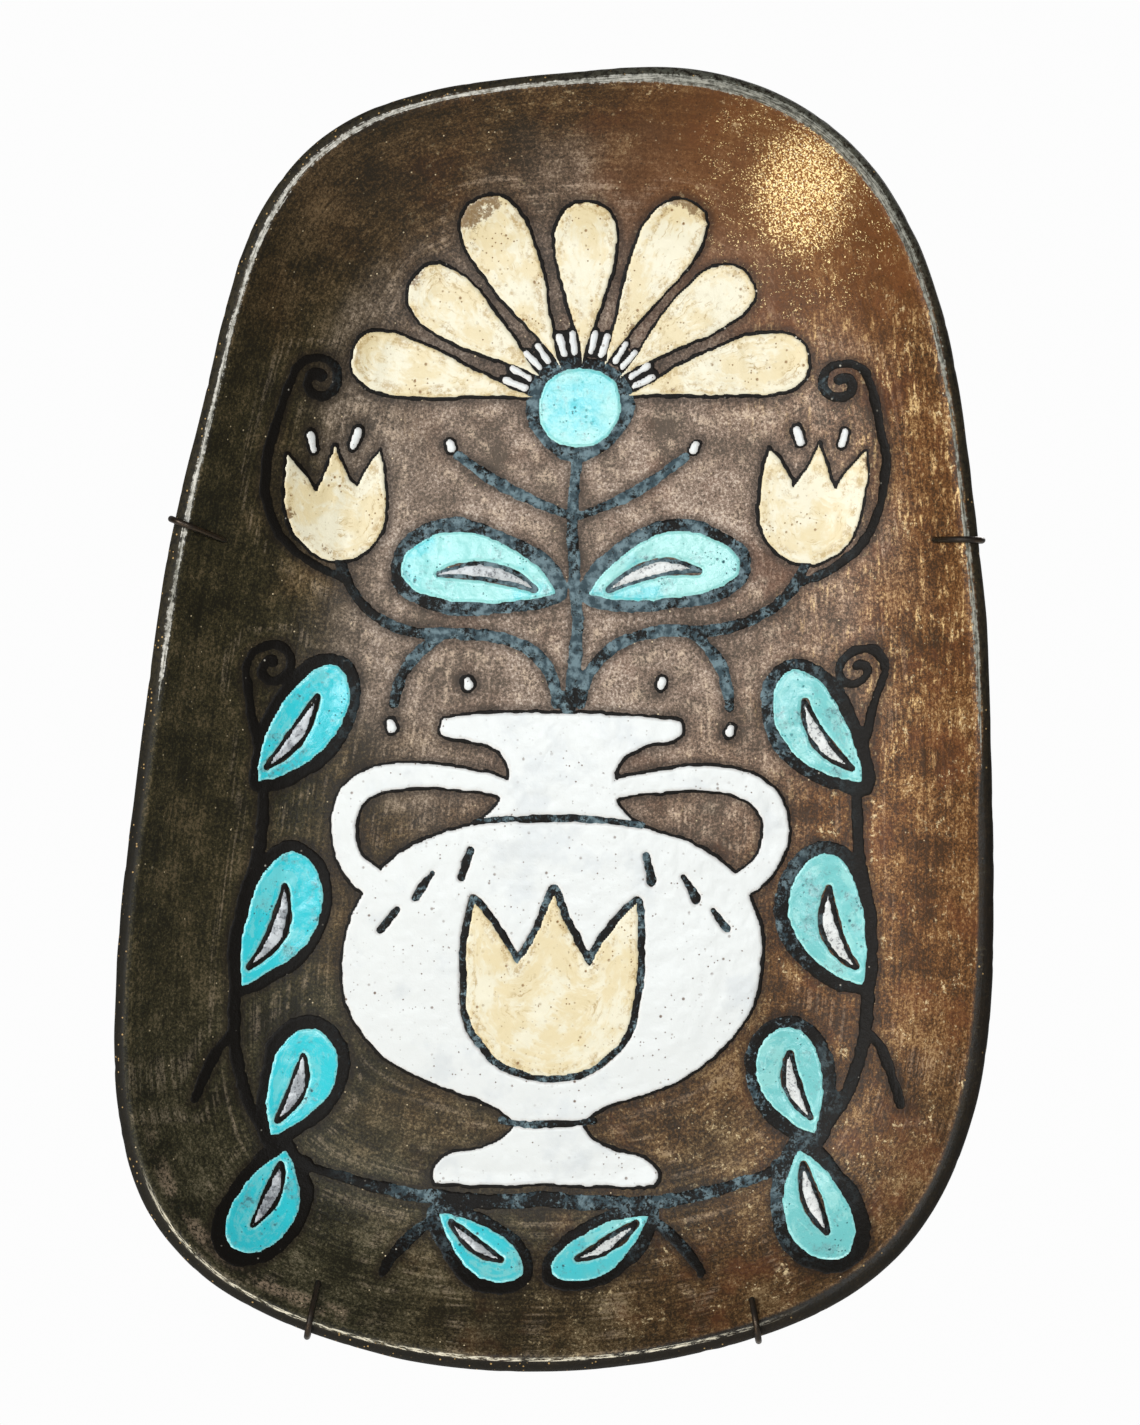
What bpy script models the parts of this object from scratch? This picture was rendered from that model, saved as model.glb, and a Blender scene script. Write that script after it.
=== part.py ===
"""Decorative wall plate: a leaning, egg-shaped stoneware dish held in a sprung wire plate hanger.

The plate stands upright, its painted side facing -Y and its cut foot ring flat on a wall at +Y.
It hangs on a nail under the peak of the upper wire, and that point is the origin.
Metres, +Z up.
"""

from math import atan2, cos, exp, hypot, pi, radians, sin, tan

import bmesh
import bpy
import numpy as np
from mathutils import Vector

NAME = "decorative_wall_plate"
GAP = 0.0003  # between pieces that touch

# ---- Outline of the plate ----
HEIGHT = 0.360
HALF_WIDTH = 0.1161  # at mid height
TAPER = 0.159  # share of the half width that the sides lose from mid height to the top
BELLY = 0.057  # share that they also lose towards both ends
TOP_SQUARENESS = (5.95, 2.72)  # along the height and across it; an ellipse would be 2 and 2
BOTTOM_SQUARENESS = (4.42, 2.26)
LEAN = tan(radians(2.5))  # the clay was laid out leaning a little to the right
SWELL = 0.0030  # how far the right side bulges
SWELL_PLACE = (0.10, 0.35)  # its middle and its reach, in shares of half the height
WAVERS = (  # waves round the hand-trimmed rim, how far each stands out, and where it starts
    (7, 0.00048, radians(134)),
    (8, 0.00054, radians(-98)),
    (9, 0.00033, radians(-40)),
    (10, 0.00036, radians(104)),
)
FINE_STEPS = 4000  # round the rim
RIM_STEPS = 80  # of the solid plate; a divisor of the fine steps

# ---- Section of the plate, from the lip to the floor ----
WALL = 0.0065  # thickness of the clay
DEPTH = 0.024
RUN = 0.050  # width of the curved wall, seen from the front
CURL = 2.2  # how soon the wall flattens out
WALL_STEPS = 9
LIP_STEPS = 6

# ---- Foot ring, in four arcs, open where the wires pass ----
FOOT_HEIGHT = 0.007
FOOT_WIDTH = 0.0065
FOOT_INSET = 0.053  # middle of the ring, inside the plate's outline
FOOT_ROOT = 0.0015  # how deep it is joined into the back
FOOT_OPENING = 0.024
FOOT_STRIDE = 60  # fine steps of the rim between two points of the ring

# ---- Plate hanger; places on the plate are measured from its middle ----
PEAK_BELOW_TOP = 0.075
WIRE = 0.0018
LEVEL = 0.003  # the wires' and springs' centre lines, behind the flat of the back
# Each hook's place, its heading, and the share of the wall that it covers inside the dish.
UPPER_HOOKS = ((-0.107, 0.055, radians(-22), 0.15), (0.117, 0.050, radians(179), 0.11))
LOWER_HOOKS = ((-0.071, -0.171, radians(79), 0.15), (0.054, -0.172, radians(99), 0.08))
HOOK_BACK = 0.70  # share of the wall that the wire follows behind it
TIP_STEPS = 3
BACK_STEPS = 7
PEAK_HALF_ANGLE = radians(25)
PEAK_BEND = 0.006  # bend radii of the wire's centre line
CATCH_BEND = 0.0035
LEVEL_BEND = 0.012
BEND_STEPS = 7
UPPER_CATCH_SIDE = 0.040
LOWER_CATCH = (0.046, -0.088)
LOWER_DIP = -0.106

# ---- Springs ----
SPRING_RADIUS = 0.0025
SPRING_WIRE = 0.0009
RING_RADIUS = 0.0023  # end ring, to the middle of its wire
RING_JOINT = 0.0002  # how deep the neck reaches into the ring's wire
SHOULDER = 0.0030  # length over which the coils draw in to the neck
SPRING_SIDES = 14
RING_STEPS = (20, 8)  # round the ring and round its wire

# ---- Worked out from the above ----
CENTRE = PEAK_BELOW_TOP - HEIGHT / 2  # height of the plate's middle
BACK = -LEVEL  # Y of the flat of the back
LIP_EDGE = BACK - WALL - DEPTH  # Y of the lip's inner edge
LIP_SLOPE = DEPTH * CURL / RUN
LIP_INSET = WALL / 2 * (1 + LIP_SLOPE / hypot(1, LIP_SLOPE))
CLEAR = GAP + WIRE / 2  # the wire's centre line off the clay


# ======== Outline and section ========


def outline_point(angle):
    """A point of the outline, seen from the front, at an angle that runs anticlockwise."""
    along, across = TOP_SQUARENESS if sin(angle) > 0 else BOTTOM_SQUARENESS
    height = np.sign(sin(angle)) * abs(sin(angle)) ** (2 / along)
    side = np.sign(cos(angle)) * abs(cos(angle)) ** (2 / across)
    side *= HALF_WIDTH * (1 - TAPER * height - BELLY * height**2)
    if cos(angle) > 0:
        side += SWELL * exp(-(((height - SWELL_PLACE[0]) / SWELL_PLACE[1]) ** 2))
    return side + LEAN * height * HEIGHT / 2, height * HEIGHT / 2 + CENTRE


def even_rim(steps):
    """Evenly spaced points round the outline, each with the direction that leads inwards from it."""
    fine = np.array([outline_point(2 * pi * i / steps) for i in range(steps + 1)])
    travelled = np.append(0, np.cumsum(np.linalg.norm(np.diff(fine, axis=0), axis=1)))
    stride = travelled[-1] / steps

    def at(step):
        distance = step % steps * stride
        across = np.interp(distance, travelled, fine[:, 0])
        return Vector((across, np.interp(distance, travelled, fine[:, 1])))

    rim = []
    for i in range(steps):
        along = at(i + 1) - at(i - 1)
        rim.append((at(i), Vector((-along.y, along.x)).normalized()))
    return rim


RIM = even_rim(FINE_STEPS)


def waver(step, inset):
    """How far the hand-trimmed rim stands out at a step, dying away down the wall."""
    turn = 2 * pi * step / FINE_STEPS
    full = sum(depth * cos(waves * turn - start) for waves, depth, start in WAVERS)
    return full * max(0, 1 - inset / RUN) ** 2


def inside_rim(step, inset):
    point, inward = RIM[step % FINE_STEPS]
    return point + inward * (inset - waver(step, inset))


def nearest_step(spot):
    return min(range(FINE_STEPS), key=lambda i: (RIM[i][0] - spot).length)


def on_plate(side, height):
    """A place on the leaning plate, given from its middle."""
    return Vector((side + LEAN * height, height + CENTRE))


def wall_section(share, behind=0.0):
    """Inset and Y, a share of the way down the painted wall and so far behind its face."""
    slope = LIP_SLOPE * (1 - share) ** (CURL - 1)
    inset = LIP_INSET + share * RUN - behind * slope / hypot(1, slope)
    return inset, LIP_EDGE + DEPTH * (1 - (1 - share) ** CURL) + behind / hypot(1, slope)


def lip_section(turn, off=0.0):
    """Inset and Y round the lip, from 0 at the painted face to pi at the back, and so far off it."""
    inset, y = wall_section(0, WALL / 2)
    reach = (WALL / 2 + off) / hypot(1, LIP_SLOPE)
    inset += reach * (LIP_SLOPE * cos(turn) - sin(turn))
    return inset, y - reach * (cos(turn) + LIP_SLOPE * sin(turn))


# ======== Making and joining ========


def make_material(name, colour, roughness, metallic):
    made = bpy.data.materials.new(name)
    made.use_nodes = True
    shader = made.node_tree.nodes["Principled BSDF"]
    shader.inputs["Base Color"].default_value = (*colour, 1)
    shader.inputs["Roughness"].default_value = roughness
    shader.inputs["Metallic"].default_value = metallic
    return made


def add_object(name, data, collection):
    made = bpy.data.objects.new(name, data)
    collection.objects.link(made)
    return made


def mesh_from(shell, name):
    """A smooth-shaded mesh from a bmesh, its faces turned outwards."""
    bmesh.ops.recalc_face_normals(shell, faces=shell.faces)
    mesh = bpy.data.meshes.new(name)
    shell.to_mesh(mesh)
    shell.free()
    mesh.shade_smooth()
    mesh.set_sharp_from_angle(angle=radians(35))
    return mesh


def curve_to_mesh(curve):
    """Replace a curve object by a mesh object, its caps welded on."""
    bpy.context.view_layer.update()
    evaluated = curve.evaluated_get(bpy.context.evaluated_depsgraph_get())
    shell = bmesh.new()
    shell.from_mesh(bpy.data.meshes.new_from_object(evaluated))
    bmesh.ops.remove_doubles(shell, verts=shell.verts, dist=0.00001)
    made = add_object(curve.name + "_solid", mesh_from(shell, curve.name), curve.users_collection[0])
    made.matrix_world = curve.matrix_world
    bpy.data.objects.remove(curve)
    return made


def join(piece, other):
    """Make a hidden solid one with a piece."""
    other.hide_render = True
    other.display_type = "WIRE"
    union = piece.modifiers.new("join_" + other.name, "BOOLEAN")
    union.operation = "UNION"
    union.solver = "EXACT"
    union.object = other


# ======== Plate ========


def plate_mesh():
    """The dish, lofted through rings that follow the outline: floor, wall, lip and back."""
    section = [wall_section(1 - k / WALL_STEPS) for k in range(WALL_STEPS)]
    section += [lip_section(pi * k / LIP_STEPS) for k in range(LIP_STEPS + 1)]
    section += [wall_section(k / WALL_STEPS, WALL) for k in range(1, WALL_STEPS + 1)]
    shell = bmesh.new()
    rings = []
    for inset, y in section:
        spots = [inside_rim(i, inset) for i in range(0, FINE_STEPS, FINE_STEPS // RIM_STEPS)]
        rings.append([shell.verts.new((spot.x, y, spot.y)) for spot in spots])
    for ring, following in zip(rings, rings[1:]):
        for i in range(RIM_STEPS):
            shell.faces.new((ring[i - 1], ring[i], following[i], following[i - 1]))
    shell.faces.new(rings[0])
    shell.faces.new(rings[-1])
    return mesh_from(shell, "plate")


def foot_arc(name, start, end, collection):
    """One arc of the foot ring: a flat outline between two steps of the rim, thickened."""
    count = round((end - start) / FOOT_STRIDE)
    steps = [round(start + (end - start) * k / count) for k in range(count + 1)]
    outer = [inside_rim(i, FOOT_INSET - FOOT_WIDTH / 2) for i in steps]
    inner = [inside_rim(i, FOOT_INSET + FOOT_WIDTH / 2) for i in reversed(steps)]
    flat = bpy.data.curves.new(name, "CURVE")
    flat.dimensions = "2D"
    flat.fill_mode = "BOTH"
    flat.extrude = (FOOT_HEIGHT + FOOT_ROOT) / 2
    edge = flat.splines.new("POLY")
    edge.points.add(len(outer + inner) - 1)
    for corner, spot in zip(edge.points, outer + inner):
        corner.co = (spot.x, spot.y, 0, 1)
    edge.use_cyclic_u = True
    arc = add_object(name, flat, collection)
    arc.rotation_euler.x = pi / 2
    arc.location.y = BACK + (FOOT_HEIGHT - FOOT_ROOT) / 2
    return curve_to_mesh(arc)


def foot_openings(crossings):
    """First and last step of the rim at each opening in the foot ring, anticlockwise."""
    openings = []
    for crossing in crossings:
        near = [i for i in range(FINE_STEPS)
                if (inside_rim(i, FOOT_INSET) - crossing).length < FOOT_OPENING / 2]
        openings.append((near[0], near[-1]))
    return sorted(openings)


def make_plate(crossings, collection, cutters):
    plate = add_object("plate", plate_mesh(), collection)
    plate.data.materials.append(make_material("brown_glaze", (0.055, 0.038, 0.027), 0.42, 0))
    openings = foot_openings(crossings)
    for k, (start, end) in enumerate(zip(openings, openings[1:] + openings[:1])):
        turn = FINE_STEPS if end[0] < start[1] else 0
        join(plate, foot_arc(f"foot_arc_{k + 1}", start[1], end[0] + turn, cutters))


# ======== Hanger wires ========


def hook_route(side, height, heading, tip):
    """A hook from its tip inside the dish, over the lip and behind the wall, up to the level part."""
    step = nearest_step(Vector((side, height + CENTRE)))
    point, inward = RIM[step]
    along = Vector((cos(heading), sin(heading)))
    along /= along.dot(inward)
    section = [wall_section(tip * (1 - k / TIP_STEPS), -CLEAR) for k in range(TIP_STEPS)]
    section += [lip_section(pi * k / LIP_STEPS, CLEAR) for k in range(LIP_STEPS + 1)]
    section += [wall_section(HOOK_BACK * k / BACK_STEPS, WALL + CLEAR)
                for k in range(1, BACK_STEPS + 1)]
    (before, y_before), (last, y_last) = section[-2:]
    section.append((last - y_last * (last - before) / (y_last - y_before), 0))
    spots = [(point + along * (inset - waver(step, inset)), y) for inset, y in section]
    return [Vector((spot.x, y, spot.y)) for spot, y in spots]


def bend_centre(before, corner, after, radius):
    towards = (before - corner).normalized() + (after - corner).normalized()
    half = (before - corner).angle(after - corner) / 2
    return corner + towards.normalized() * radius / sin(half)


def rounded(stops):
    """The points of a route, from its corners and their bend radii, 0 for a corner left as it is."""
    route = []
    for k, (corner, radius) in enumerate(stops):
        if radius == 0:
            route.append(corner)
            continue
        before, after = stops[k - 1][0], stops[k + 1][0]
        centre = bend_centre(before, corner, after, radius)
        reach = radius / tan((before - corner).angle(after - corner) / 2)
        first = corner + (before - corner).normalized() * reach - centre
        last = corner + (after - corner).normalized() * reach - centre
        for j in range(BEND_STEPS + 1):
            route.append(centre + first.slerp(last, j / BEND_STEPS).normalized() * radius)
    return route


def wire_stops(hooks, middle):
    """Corners and bend radii of a hanger wire from one hook's tip to the other's."""
    left, right = hooks
    stops = [(point, 0) for point in left[:-1]] + [(left[-1], LEVEL_BEND)]
    stops += middle
    return stops + [(right[-1], LEVEL_BEND)] + [(point, 0) for point in right[-2::-1]]


def make_wire(name, route, finish, collection):
    line = bpy.data.curves.new(name, "CURVE")
    line.dimensions = "3D"
    line.bevel_depth = WIRE / 2
    line.bevel_resolution = 2
    line.use_fill_caps = True
    spline = line.splines.new("POLY")
    spline.points.add(len(route) - 1)
    for knot, point in zip(spline.points, route):
        knot.co = (*point, 1)
    line.materials.append(finish)
    return add_object(name, line, collection)


def upper_stops(hooks):
    """Down to where a spring catches, up to the peak over the nail, and down and out again."""
    peak = Vector((0, 0, WIRE / 2 + PEAK_BEND * (1 / sin(PEAK_HALF_ANGLE) - 1)))
    drop = UPPER_CATCH_SIDE / tan(PEAK_HALF_ANGLE)
    catches = [Vector((side * UPPER_CATCH_SIDE, 0, peak.z - drop)) for side in (-1, 1)]
    middle = [(catches[0], CATCH_BEND), (peak, PEAK_BEND), (catches[1], CATCH_BEND)]
    return wire_stops(hooks, middle)


def lower_stops(hooks):
    """Up to where a spring catches, down in the middle, and the same on the other side."""
    across, height = LOWER_CATCH
    places = [on_plate(-across, height), on_plate(0, LOWER_DIP), on_plate(across, height)]
    points = [Vector((place.x, 0, place.y)) for place in places]
    middle = list(zip(points, (CATCH_BEND, PEAK_BEND, CATCH_BEND)))
    return wire_stops(hooks, middle)


def catch_points(stops, pull):
    """Where the springs bear on a wire: the lowest (-1) or highest (1) point of its catches."""
    found = []
    for k, (corner, radius) in enumerate(stops):
        if radius == CATCH_BEND:
            centre = bend_centre(stops[k - 1][0], corner, stops[k + 1][0], radius)
            found.append(centre + Vector((0, 0, pull * radius)))
    return found


# ======== Springs ========


def turned_mesh_object(name, profile, collection):
    """A solid turned about Z from radii and heights, top to bottom."""
    mesh = bpy.data.meshes.new(name)
    edges = [(k, k + 1) for k in range(len(profile) - 1)]
    mesh.from_pydata([(radius, 0, height) for radius, height in profile], edges, [])
    made = add_object(name, mesh, collection)
    screw = made.modifiers.new("turn", "SCREW")
    screw.steps = screw.render_steps = SPRING_SIDES
    screw.use_merge_vertices = True
    screw.merge_threshold = 0.00001
    screw.use_smooth_shade = True
    return made


def end_ring(name, spring, height, cutters):
    """The ring at one end of a spring, round the hanger's wire."""
    bpy.ops.mesh.primitive_torus_add(
        major_radius=RING_RADIUS,
        minor_radius=SPRING_WIRE / 2,
        major_segments=RING_STEPS[0],
        minor_segments=RING_STEPS[1],
        rotation=(0, pi / 2, 0),
        location=(0, 0, height),
    )
    ring = bpy.context.object
    ring.name = name
    for holder in ring.users_collection:
        holder.objects.unlink(ring)
    cutters.objects.link(ring)
    ring.parent = spring
    join(spring, ring)


def make_spring(name, top, bottom, finish, collection, cutters):
    """A closely wound spring that hangs in the upper wire's catch and pulls the lower wire up."""
    slack = RING_RADIUS - SPRING_WIRE / 2 - WIRE / 2 - GAP  # ring's centre past the wire's
    half = (top - bottom).length / 2 - slack
    neck = half - RING_RADIUS + RING_JOINT
    coils = neck - SHOULDER
    profile = [(0, neck), (SPRING_WIRE / 2, neck), (SPRING_RADIUS, coils)]
    profile += [(radius, -height) for radius, height in reversed(profile)]
    spring = turned_mesh_object(name, profile, collection)
    spring.data.materials.append(finish)
    spring.location = (top + bottom) / 2
    upward = top - bottom
    spring.rotation_euler.y = atan2(upward.x, upward.z)
    for end, height in (("upper", half), ("lower", -half)):
        end_ring(f"{name}_{end}_ring", spring, height, cutters)


# ======== The whole object ========


def make_collection(name):
    made = bpy.data.collections.new(name)
    bpy.context.scene.collection.children.link(made)
    return made


def main():
    for leftover in list(bpy.data.objects):
        bpy.data.objects.remove(leftover)
    parts = make_collection(NAME)
    cutters = make_collection(NAME + "_joined_in")

    upper_hooks = [hook_route(*hook) for hook in UPPER_HOOKS]
    lower_hooks = [hook_route(*hook) for hook in LOWER_HOOKS]
    crossings = [Vector((route[-1].x, route[-1].z)) for route in upper_hooks + lower_hooks]
    make_plate(crossings, parts, cutters)

    upper, lower = upper_stops(upper_hooks), lower_stops(lower_hooks)
    wire_metal = make_material("browned_wire", (0.075, 0.045, 0.028), 0.5, 0.9)
    make_wire("hanger_upper_wire", rounded(upper), wire_metal, parts)
    make_wire("hanger_lower_wire", rounded(lower), wire_metal, parts)

    spring_metal = make_material("spring_steel", (0.20, 0.17, 0.14), 0.4, 1)
    ends = zip(("left", "right"), catch_points(upper, -1), catch_points(lower, 1))
    for side, top, bottom in ends:
        make_spring("spring_" + side, top, bottom, spring_metal, parts, cutters)


main()
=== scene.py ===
# %% [markdown]
# # A stoneware wall plate with a painted urn, in its wire hanger
#
# This lesson dresses a decorative wall plate for a close look. The real one is a leaning,
# egg-shaped dish about 36 cm tall, pressed by hand, brushed with a dark brown glaze and painted
# with pools of bright enamel inside black lines. Two bent wires and two springs hold it on a nail.
#
# The construction is finished already: its solids are loaded here as a fixed frame, with the
# plate's painted side facing -Y, Z up, and the nail under the upper wire at the origin. What
# follows replaces the plain solids with meshes that show the maker's hand, each in the same place.

# %% The packed model
from math import cos, hypot, pi, radians, sin, tan

import bpy
import numpy as np
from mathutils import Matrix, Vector
from mathutils.bvhtree import BVHTree


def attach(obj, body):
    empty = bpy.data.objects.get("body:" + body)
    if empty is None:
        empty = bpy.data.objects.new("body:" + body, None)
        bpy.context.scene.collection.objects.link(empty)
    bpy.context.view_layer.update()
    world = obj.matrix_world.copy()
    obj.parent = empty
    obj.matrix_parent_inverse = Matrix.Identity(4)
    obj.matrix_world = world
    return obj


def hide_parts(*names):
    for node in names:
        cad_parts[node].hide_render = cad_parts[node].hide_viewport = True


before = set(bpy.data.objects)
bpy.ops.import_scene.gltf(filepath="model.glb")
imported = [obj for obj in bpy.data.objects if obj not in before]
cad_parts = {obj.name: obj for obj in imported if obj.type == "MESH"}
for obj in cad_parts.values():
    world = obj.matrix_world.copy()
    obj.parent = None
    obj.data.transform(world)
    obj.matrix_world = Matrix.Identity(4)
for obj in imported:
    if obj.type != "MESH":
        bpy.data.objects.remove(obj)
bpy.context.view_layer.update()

MM = 0.001
print("solids:", ", ".join(sorted(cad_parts)))

# %% [markdown]
# ## The outline
#
# The rim is neither an ellipse nor a rectangle. A superellipse gives such a soft-cornered shape
# from two powers: one for how square it is along its height and one across it. The upper half is
# squarer than the lower one, the sides draw in towards the top, and everything leans a little to
# the right, as the slab of clay did. A list of points would give the same picture, but the
# formula can be sampled as finely as each step below needs.

# %% Outline of the plate
HEIGHT = 360 * MM
HALF_WIDTH = 116.1 * MM
TAPER = 0.159  # share of the half width that the sides lose from mid height to the top
BELLY = 0.057  # share that they also lose towards both ends
TOP_SQUARENESS = (5.95, 2.72)  # along the height and across it; an ellipse would be 2 and 2
BOTTOM_SQUARENESS = (4.42, 2.26)
LEAN = tan(radians(2.5))
SWELL = 3 * MM  # how far the right side bulges
SWELL_PLACE = (0.10, 0.35)  # its middle and its reach, in shares of half the height
PEAK_BELOW_TOP = 75 * MM  # how far down behind the plate the nail is
MIDDLE = PEAK_BELOW_TOP - HEIGHT / 2  # Z of the plate's middle


def outline(angle):
    """Points (X, Z) of the outline, seen from the front, at angles that run anticlockwise."""
    upper = np.sin(angle) > 0
    along = np.where(upper, TOP_SQUARENESS[0], BOTTOM_SQUARENESS[0])
    across = np.where(upper, TOP_SQUARENESS[1], BOTTOM_SQUARENESS[1])
    height = np.sign(np.sin(angle)) * abs(np.sin(angle)) ** (2 / along)
    side = np.sign(np.cos(angle)) * abs(np.cos(angle)) ** (2 / across)
    side *= HALF_WIDTH * (1 - TAPER * height - BELLY * height**2)
    bulge = SWELL * np.exp(-(((height - SWELL_PLACE[0]) / SWELL_PLACE[1]) ** 2))
    side += np.where(np.cos(angle) > 0, bulge, 0)
    return np.stack((side + LEAN * height * HEIGHT / 2, height * HEIGHT / 2 + MIDDLE), axis=1)


breadth = np.ptp(outline(np.linspace(0, 2 * pi, 721))[:, 0])
print(f"the plate is {HEIGHT / MM:.0f} mm tall and {breadth / MM:.0f} mm wide")

# %% [markdown]
# Rings that follow the rim at an even stride keep the mesh's faces alike. The rim was trimmed
# freehand, so it wavers by about a millimetre, and that dies away down the wall.

# %% Rings inside the rim
RUN = 50 * MM  # width of the curved wall, seen from the front
WAVERS = (  # waves round the rim, how far each stands out, and where it starts
    (7, 0.48 * MM, radians(134)),
    (8, 0.54 * MM, radians(-98)),
    (9, 0.33 * MM, radians(-40)),
    (10, 0.36 * MM, radians(104)),
)


class Rim:
    """Evenly spaced points round the outline, the way inwards from each, and how it wavers."""

    def __init__(self, count):
        fine = outline(np.linspace(0, 2 * pi, 4001))
        travelled = np.append(0, np.cumsum(np.linalg.norm(np.diff(fine, axis=0), axis=1)))
        share = np.arange(count) / count
        self.length = travelled[-1]
        self.places = share * self.length
        self.points = np.stack([np.interp(self.places, travelled, fine[:, k]) for k in (0, 1)], axis=1)
        forward = np.roll(self.points, -1, axis=0) - np.roll(self.points, 1, axis=0)
        inward = np.stack((-forward[:, 1], forward[:, 0]), axis=1)
        self.inward = inward / np.linalg.norm(inward, axis=1, keepdims=True)
        turn = share * 2 * pi
        self.waver = sum(depth * np.cos(waves * turn - start) for waves, depth, start in WAVERS)

    def trimmed(self, inset):
        """How far inside the even outline the wavering one lies, at every point."""
        return inset - self.waver * max(0, 1 - inset / RUN) ** 2

    def inside(self, inset):
        """The ring of points that lies so far inside the rim."""
        return self.points + self.inward * self.trimmed(inset)[:, None]


print(f"the rim is {Rim(600).length:.3f} m long")

# %% [markdown]
# ## The section
#
# Cut across the rim, the dish is a curved wall 6.5 mm thick that flattens into the floor, with a
# half-round lip. The painted face is a power curve, steep at the lip and level at the floor, and
# the back follows it at the clay's thickness. Each function gives how far a point is inside the
# rim, and its Y.

# %% Section of the wall and the lip
WALL = 6.5 * MM  # thickness of the clay
DEPTH = 24 * MM  # from the lip to the floor
CURL = 2.2  # how soon the wall flattens out
BACK = -3 * MM  # Y of the flat of the back
LIP_EDGE = BACK - WALL - DEPTH  # Y of the lip's inner edge
LIP_SLOPE = DEPTH * CURL / RUN
LIP_INSET = WALL / 2 * (1 + LIP_SLOPE / hypot(1, LIP_SLOPE))


def wall_section(share, behind=0.0):
    """Inset and Y, a share of the way down the painted wall and so far behind its face."""
    slope = LIP_SLOPE * (1 - share) ** (CURL - 1)
    inset = LIP_INSET + share * RUN - behind * slope / hypot(1, slope)
    return inset, LIP_EDGE + DEPTH * (1 - (1 - share) ** CURL) + behind / hypot(1, slope)


def lip_section(turn, off=0.0):
    """Inset and Y round the lip, from 0 at the painted face to pi at the back, and so far off it."""
    inset, y = wall_section(0, WALL / 2)
    reach = (WALL / 2 + off) / hypot(1, LIP_SLOPE)
    inset += reach * (LIP_SLOPE * cos(turn) - sin(turn))
    return inset, y - reach * (cos(turn) + LIP_SLOPE * sin(turn))


print(f"the lip stands {-LIP_EDGE / MM:.1f} mm in front of the nail's plane")

# %% [markdown]
# ## The routes of the hanger's wires
#
# The hanger is two soft steel wires. Each ends in two hooks over the rim, runs behind the dish
# just off the clay, bends level with the back, and makes two catches for the springs. A curve
# with handles would be quick to draw, but a bent wire is straight between its bends, so each
# route is a list of corners with a bend radius, rounded by arcs. They come before the clay,
# because the foot ring opens where they pass.

# %% Hooks over the rim
GAP = 0.3 * MM  # between pieces that touch
WIRE = 1.8 * MM
CLEAR = GAP + WIRE / 2  # the wire's centre line off the clay
UPPER_HOOKS = (  # place from the plate's middle, heading inwards, and share of the wall covered
    ((-107 * MM, 55 * MM), radians(-22), 0.15),
    ((117 * MM, 50 * MM), radians(179), 0.11),
)
LOWER_HOOKS = (
    ((-71 * MM, -171 * MM), radians(79), 0.15),
    ((54 * MM, -172 * MM), radians(99), 0.08),
)
HOOK_BACK = 0.70  # share of the wall that the wire follows behind it
FINE_RIM = Rim(4000)


def hook_route(place, heading, tip):
    """A hook from its tip inside the dish, over the lip and behind the wall, up to the level part."""
    spot = np.array(place) + (0, MIDDLE)
    step = np.linalg.norm(FINE_RIM.points - spot, axis=1).argmin()
    inwards = np.array((cos(heading), sin(heading)))
    inwards /= inwards @ FINE_RIM.inward[step]
    section = [wall_section(tip * (1 - k / 3), -CLEAR) for k in range(3)]
    section += [lip_section(pi * k / 6, CLEAR) for k in range(7)]
    section += [wall_section(HOOK_BACK * k / 7, WALL + CLEAR) for k in range(1, 8)]
    (before, y_before), (last, y_last) = section[-2:]
    section.append((last - y_last * (last - before) / (y_last - y_before), 0))
    route = []
    for inset, y in section:
        side, height = FINE_RIM.points[step] + inwards * FINE_RIM.trimmed(inset)[step]
        route.append(Vector((side, y, height)))
    return route


UPPER_ENDS = [hook_route(*hook) for hook in UPPER_HOOKS]
LOWER_ENDS = [hook_route(*hook) for hook in LOWER_HOOKS]
CROSSINGS = [(route[-1].x, route[-1].z) for route in UPPER_ENDS + LOWER_ENDS]
print("the wires bend level at", [[round(value / MM) for value in spot] for spot in CROSSINGS], "mm")

# %% [markdown]
# Behind the dish the upper wire climbs to a peak that hangs on the nail, and the lower one dips.
# Each has two catches on the way, where the springs hook in and pull the wires together. A bevel
# on a curve object could round the corners too, but worked-out arcs also give the exact points
# that the springs bear on.

# %% Rounded bends
PEAK_HALF_ANGLE = radians(25)
PEAK_BEND = 6 * MM  # bend radii of the wire's centre line
CATCH_BEND = 3.5 * MM
LEVEL_BEND = 12 * MM
UPPER_CATCH_SIDE = 40 * MM
LOWER_CATCH = (46 * MM, -88 * MM)
LOWER_DIP = -106 * MM
BEND_STEPS = 12


def arc_of(stops, k):
    """The middle of the arc that rounds a corner, the ways to its neighbours, and half its angle."""
    corner, radius = stops[k]
    back, on = stops[k - 1][0] - corner, stops[k + 1][0] - corner
    half = back.angle(on) / 2
    towards = (back.normalized() + on.normalized()).normalized()
    return corner + towards * radius / sin(half), back.normalized(), on.normalized(), half


def rounded(stops):
    """The points of a route, from its corners and their bend radii, 0 for a corner left as it is."""
    route = []
    for k, (corner, radius) in enumerate(stops):
        if radius == 0:
            route.append(corner)
            continue
        centre, back, on, half = arc_of(stops, k)
        first = corner + back * (radius / tan(half)) - centre
        last = corner + on * (radius / tan(half)) - centre
        for j in range(BEND_STEPS + 1):
            route.append(centre + first.slerp(last, j / BEND_STEPS).normalized() * radius)
    return route


def wire_stops(ends, middle):
    """Corners and bend radii of a hanger wire from one hook's tip to the other's."""
    left, right = ends
    stops = [(point, 0) for point in left[:-1]] + [(left[-1], LEVEL_BEND)] + middle
    return stops + [(right[-1], LEVEL_BEND)] + [(point, 0) for point in right[-2::-1]]


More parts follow.
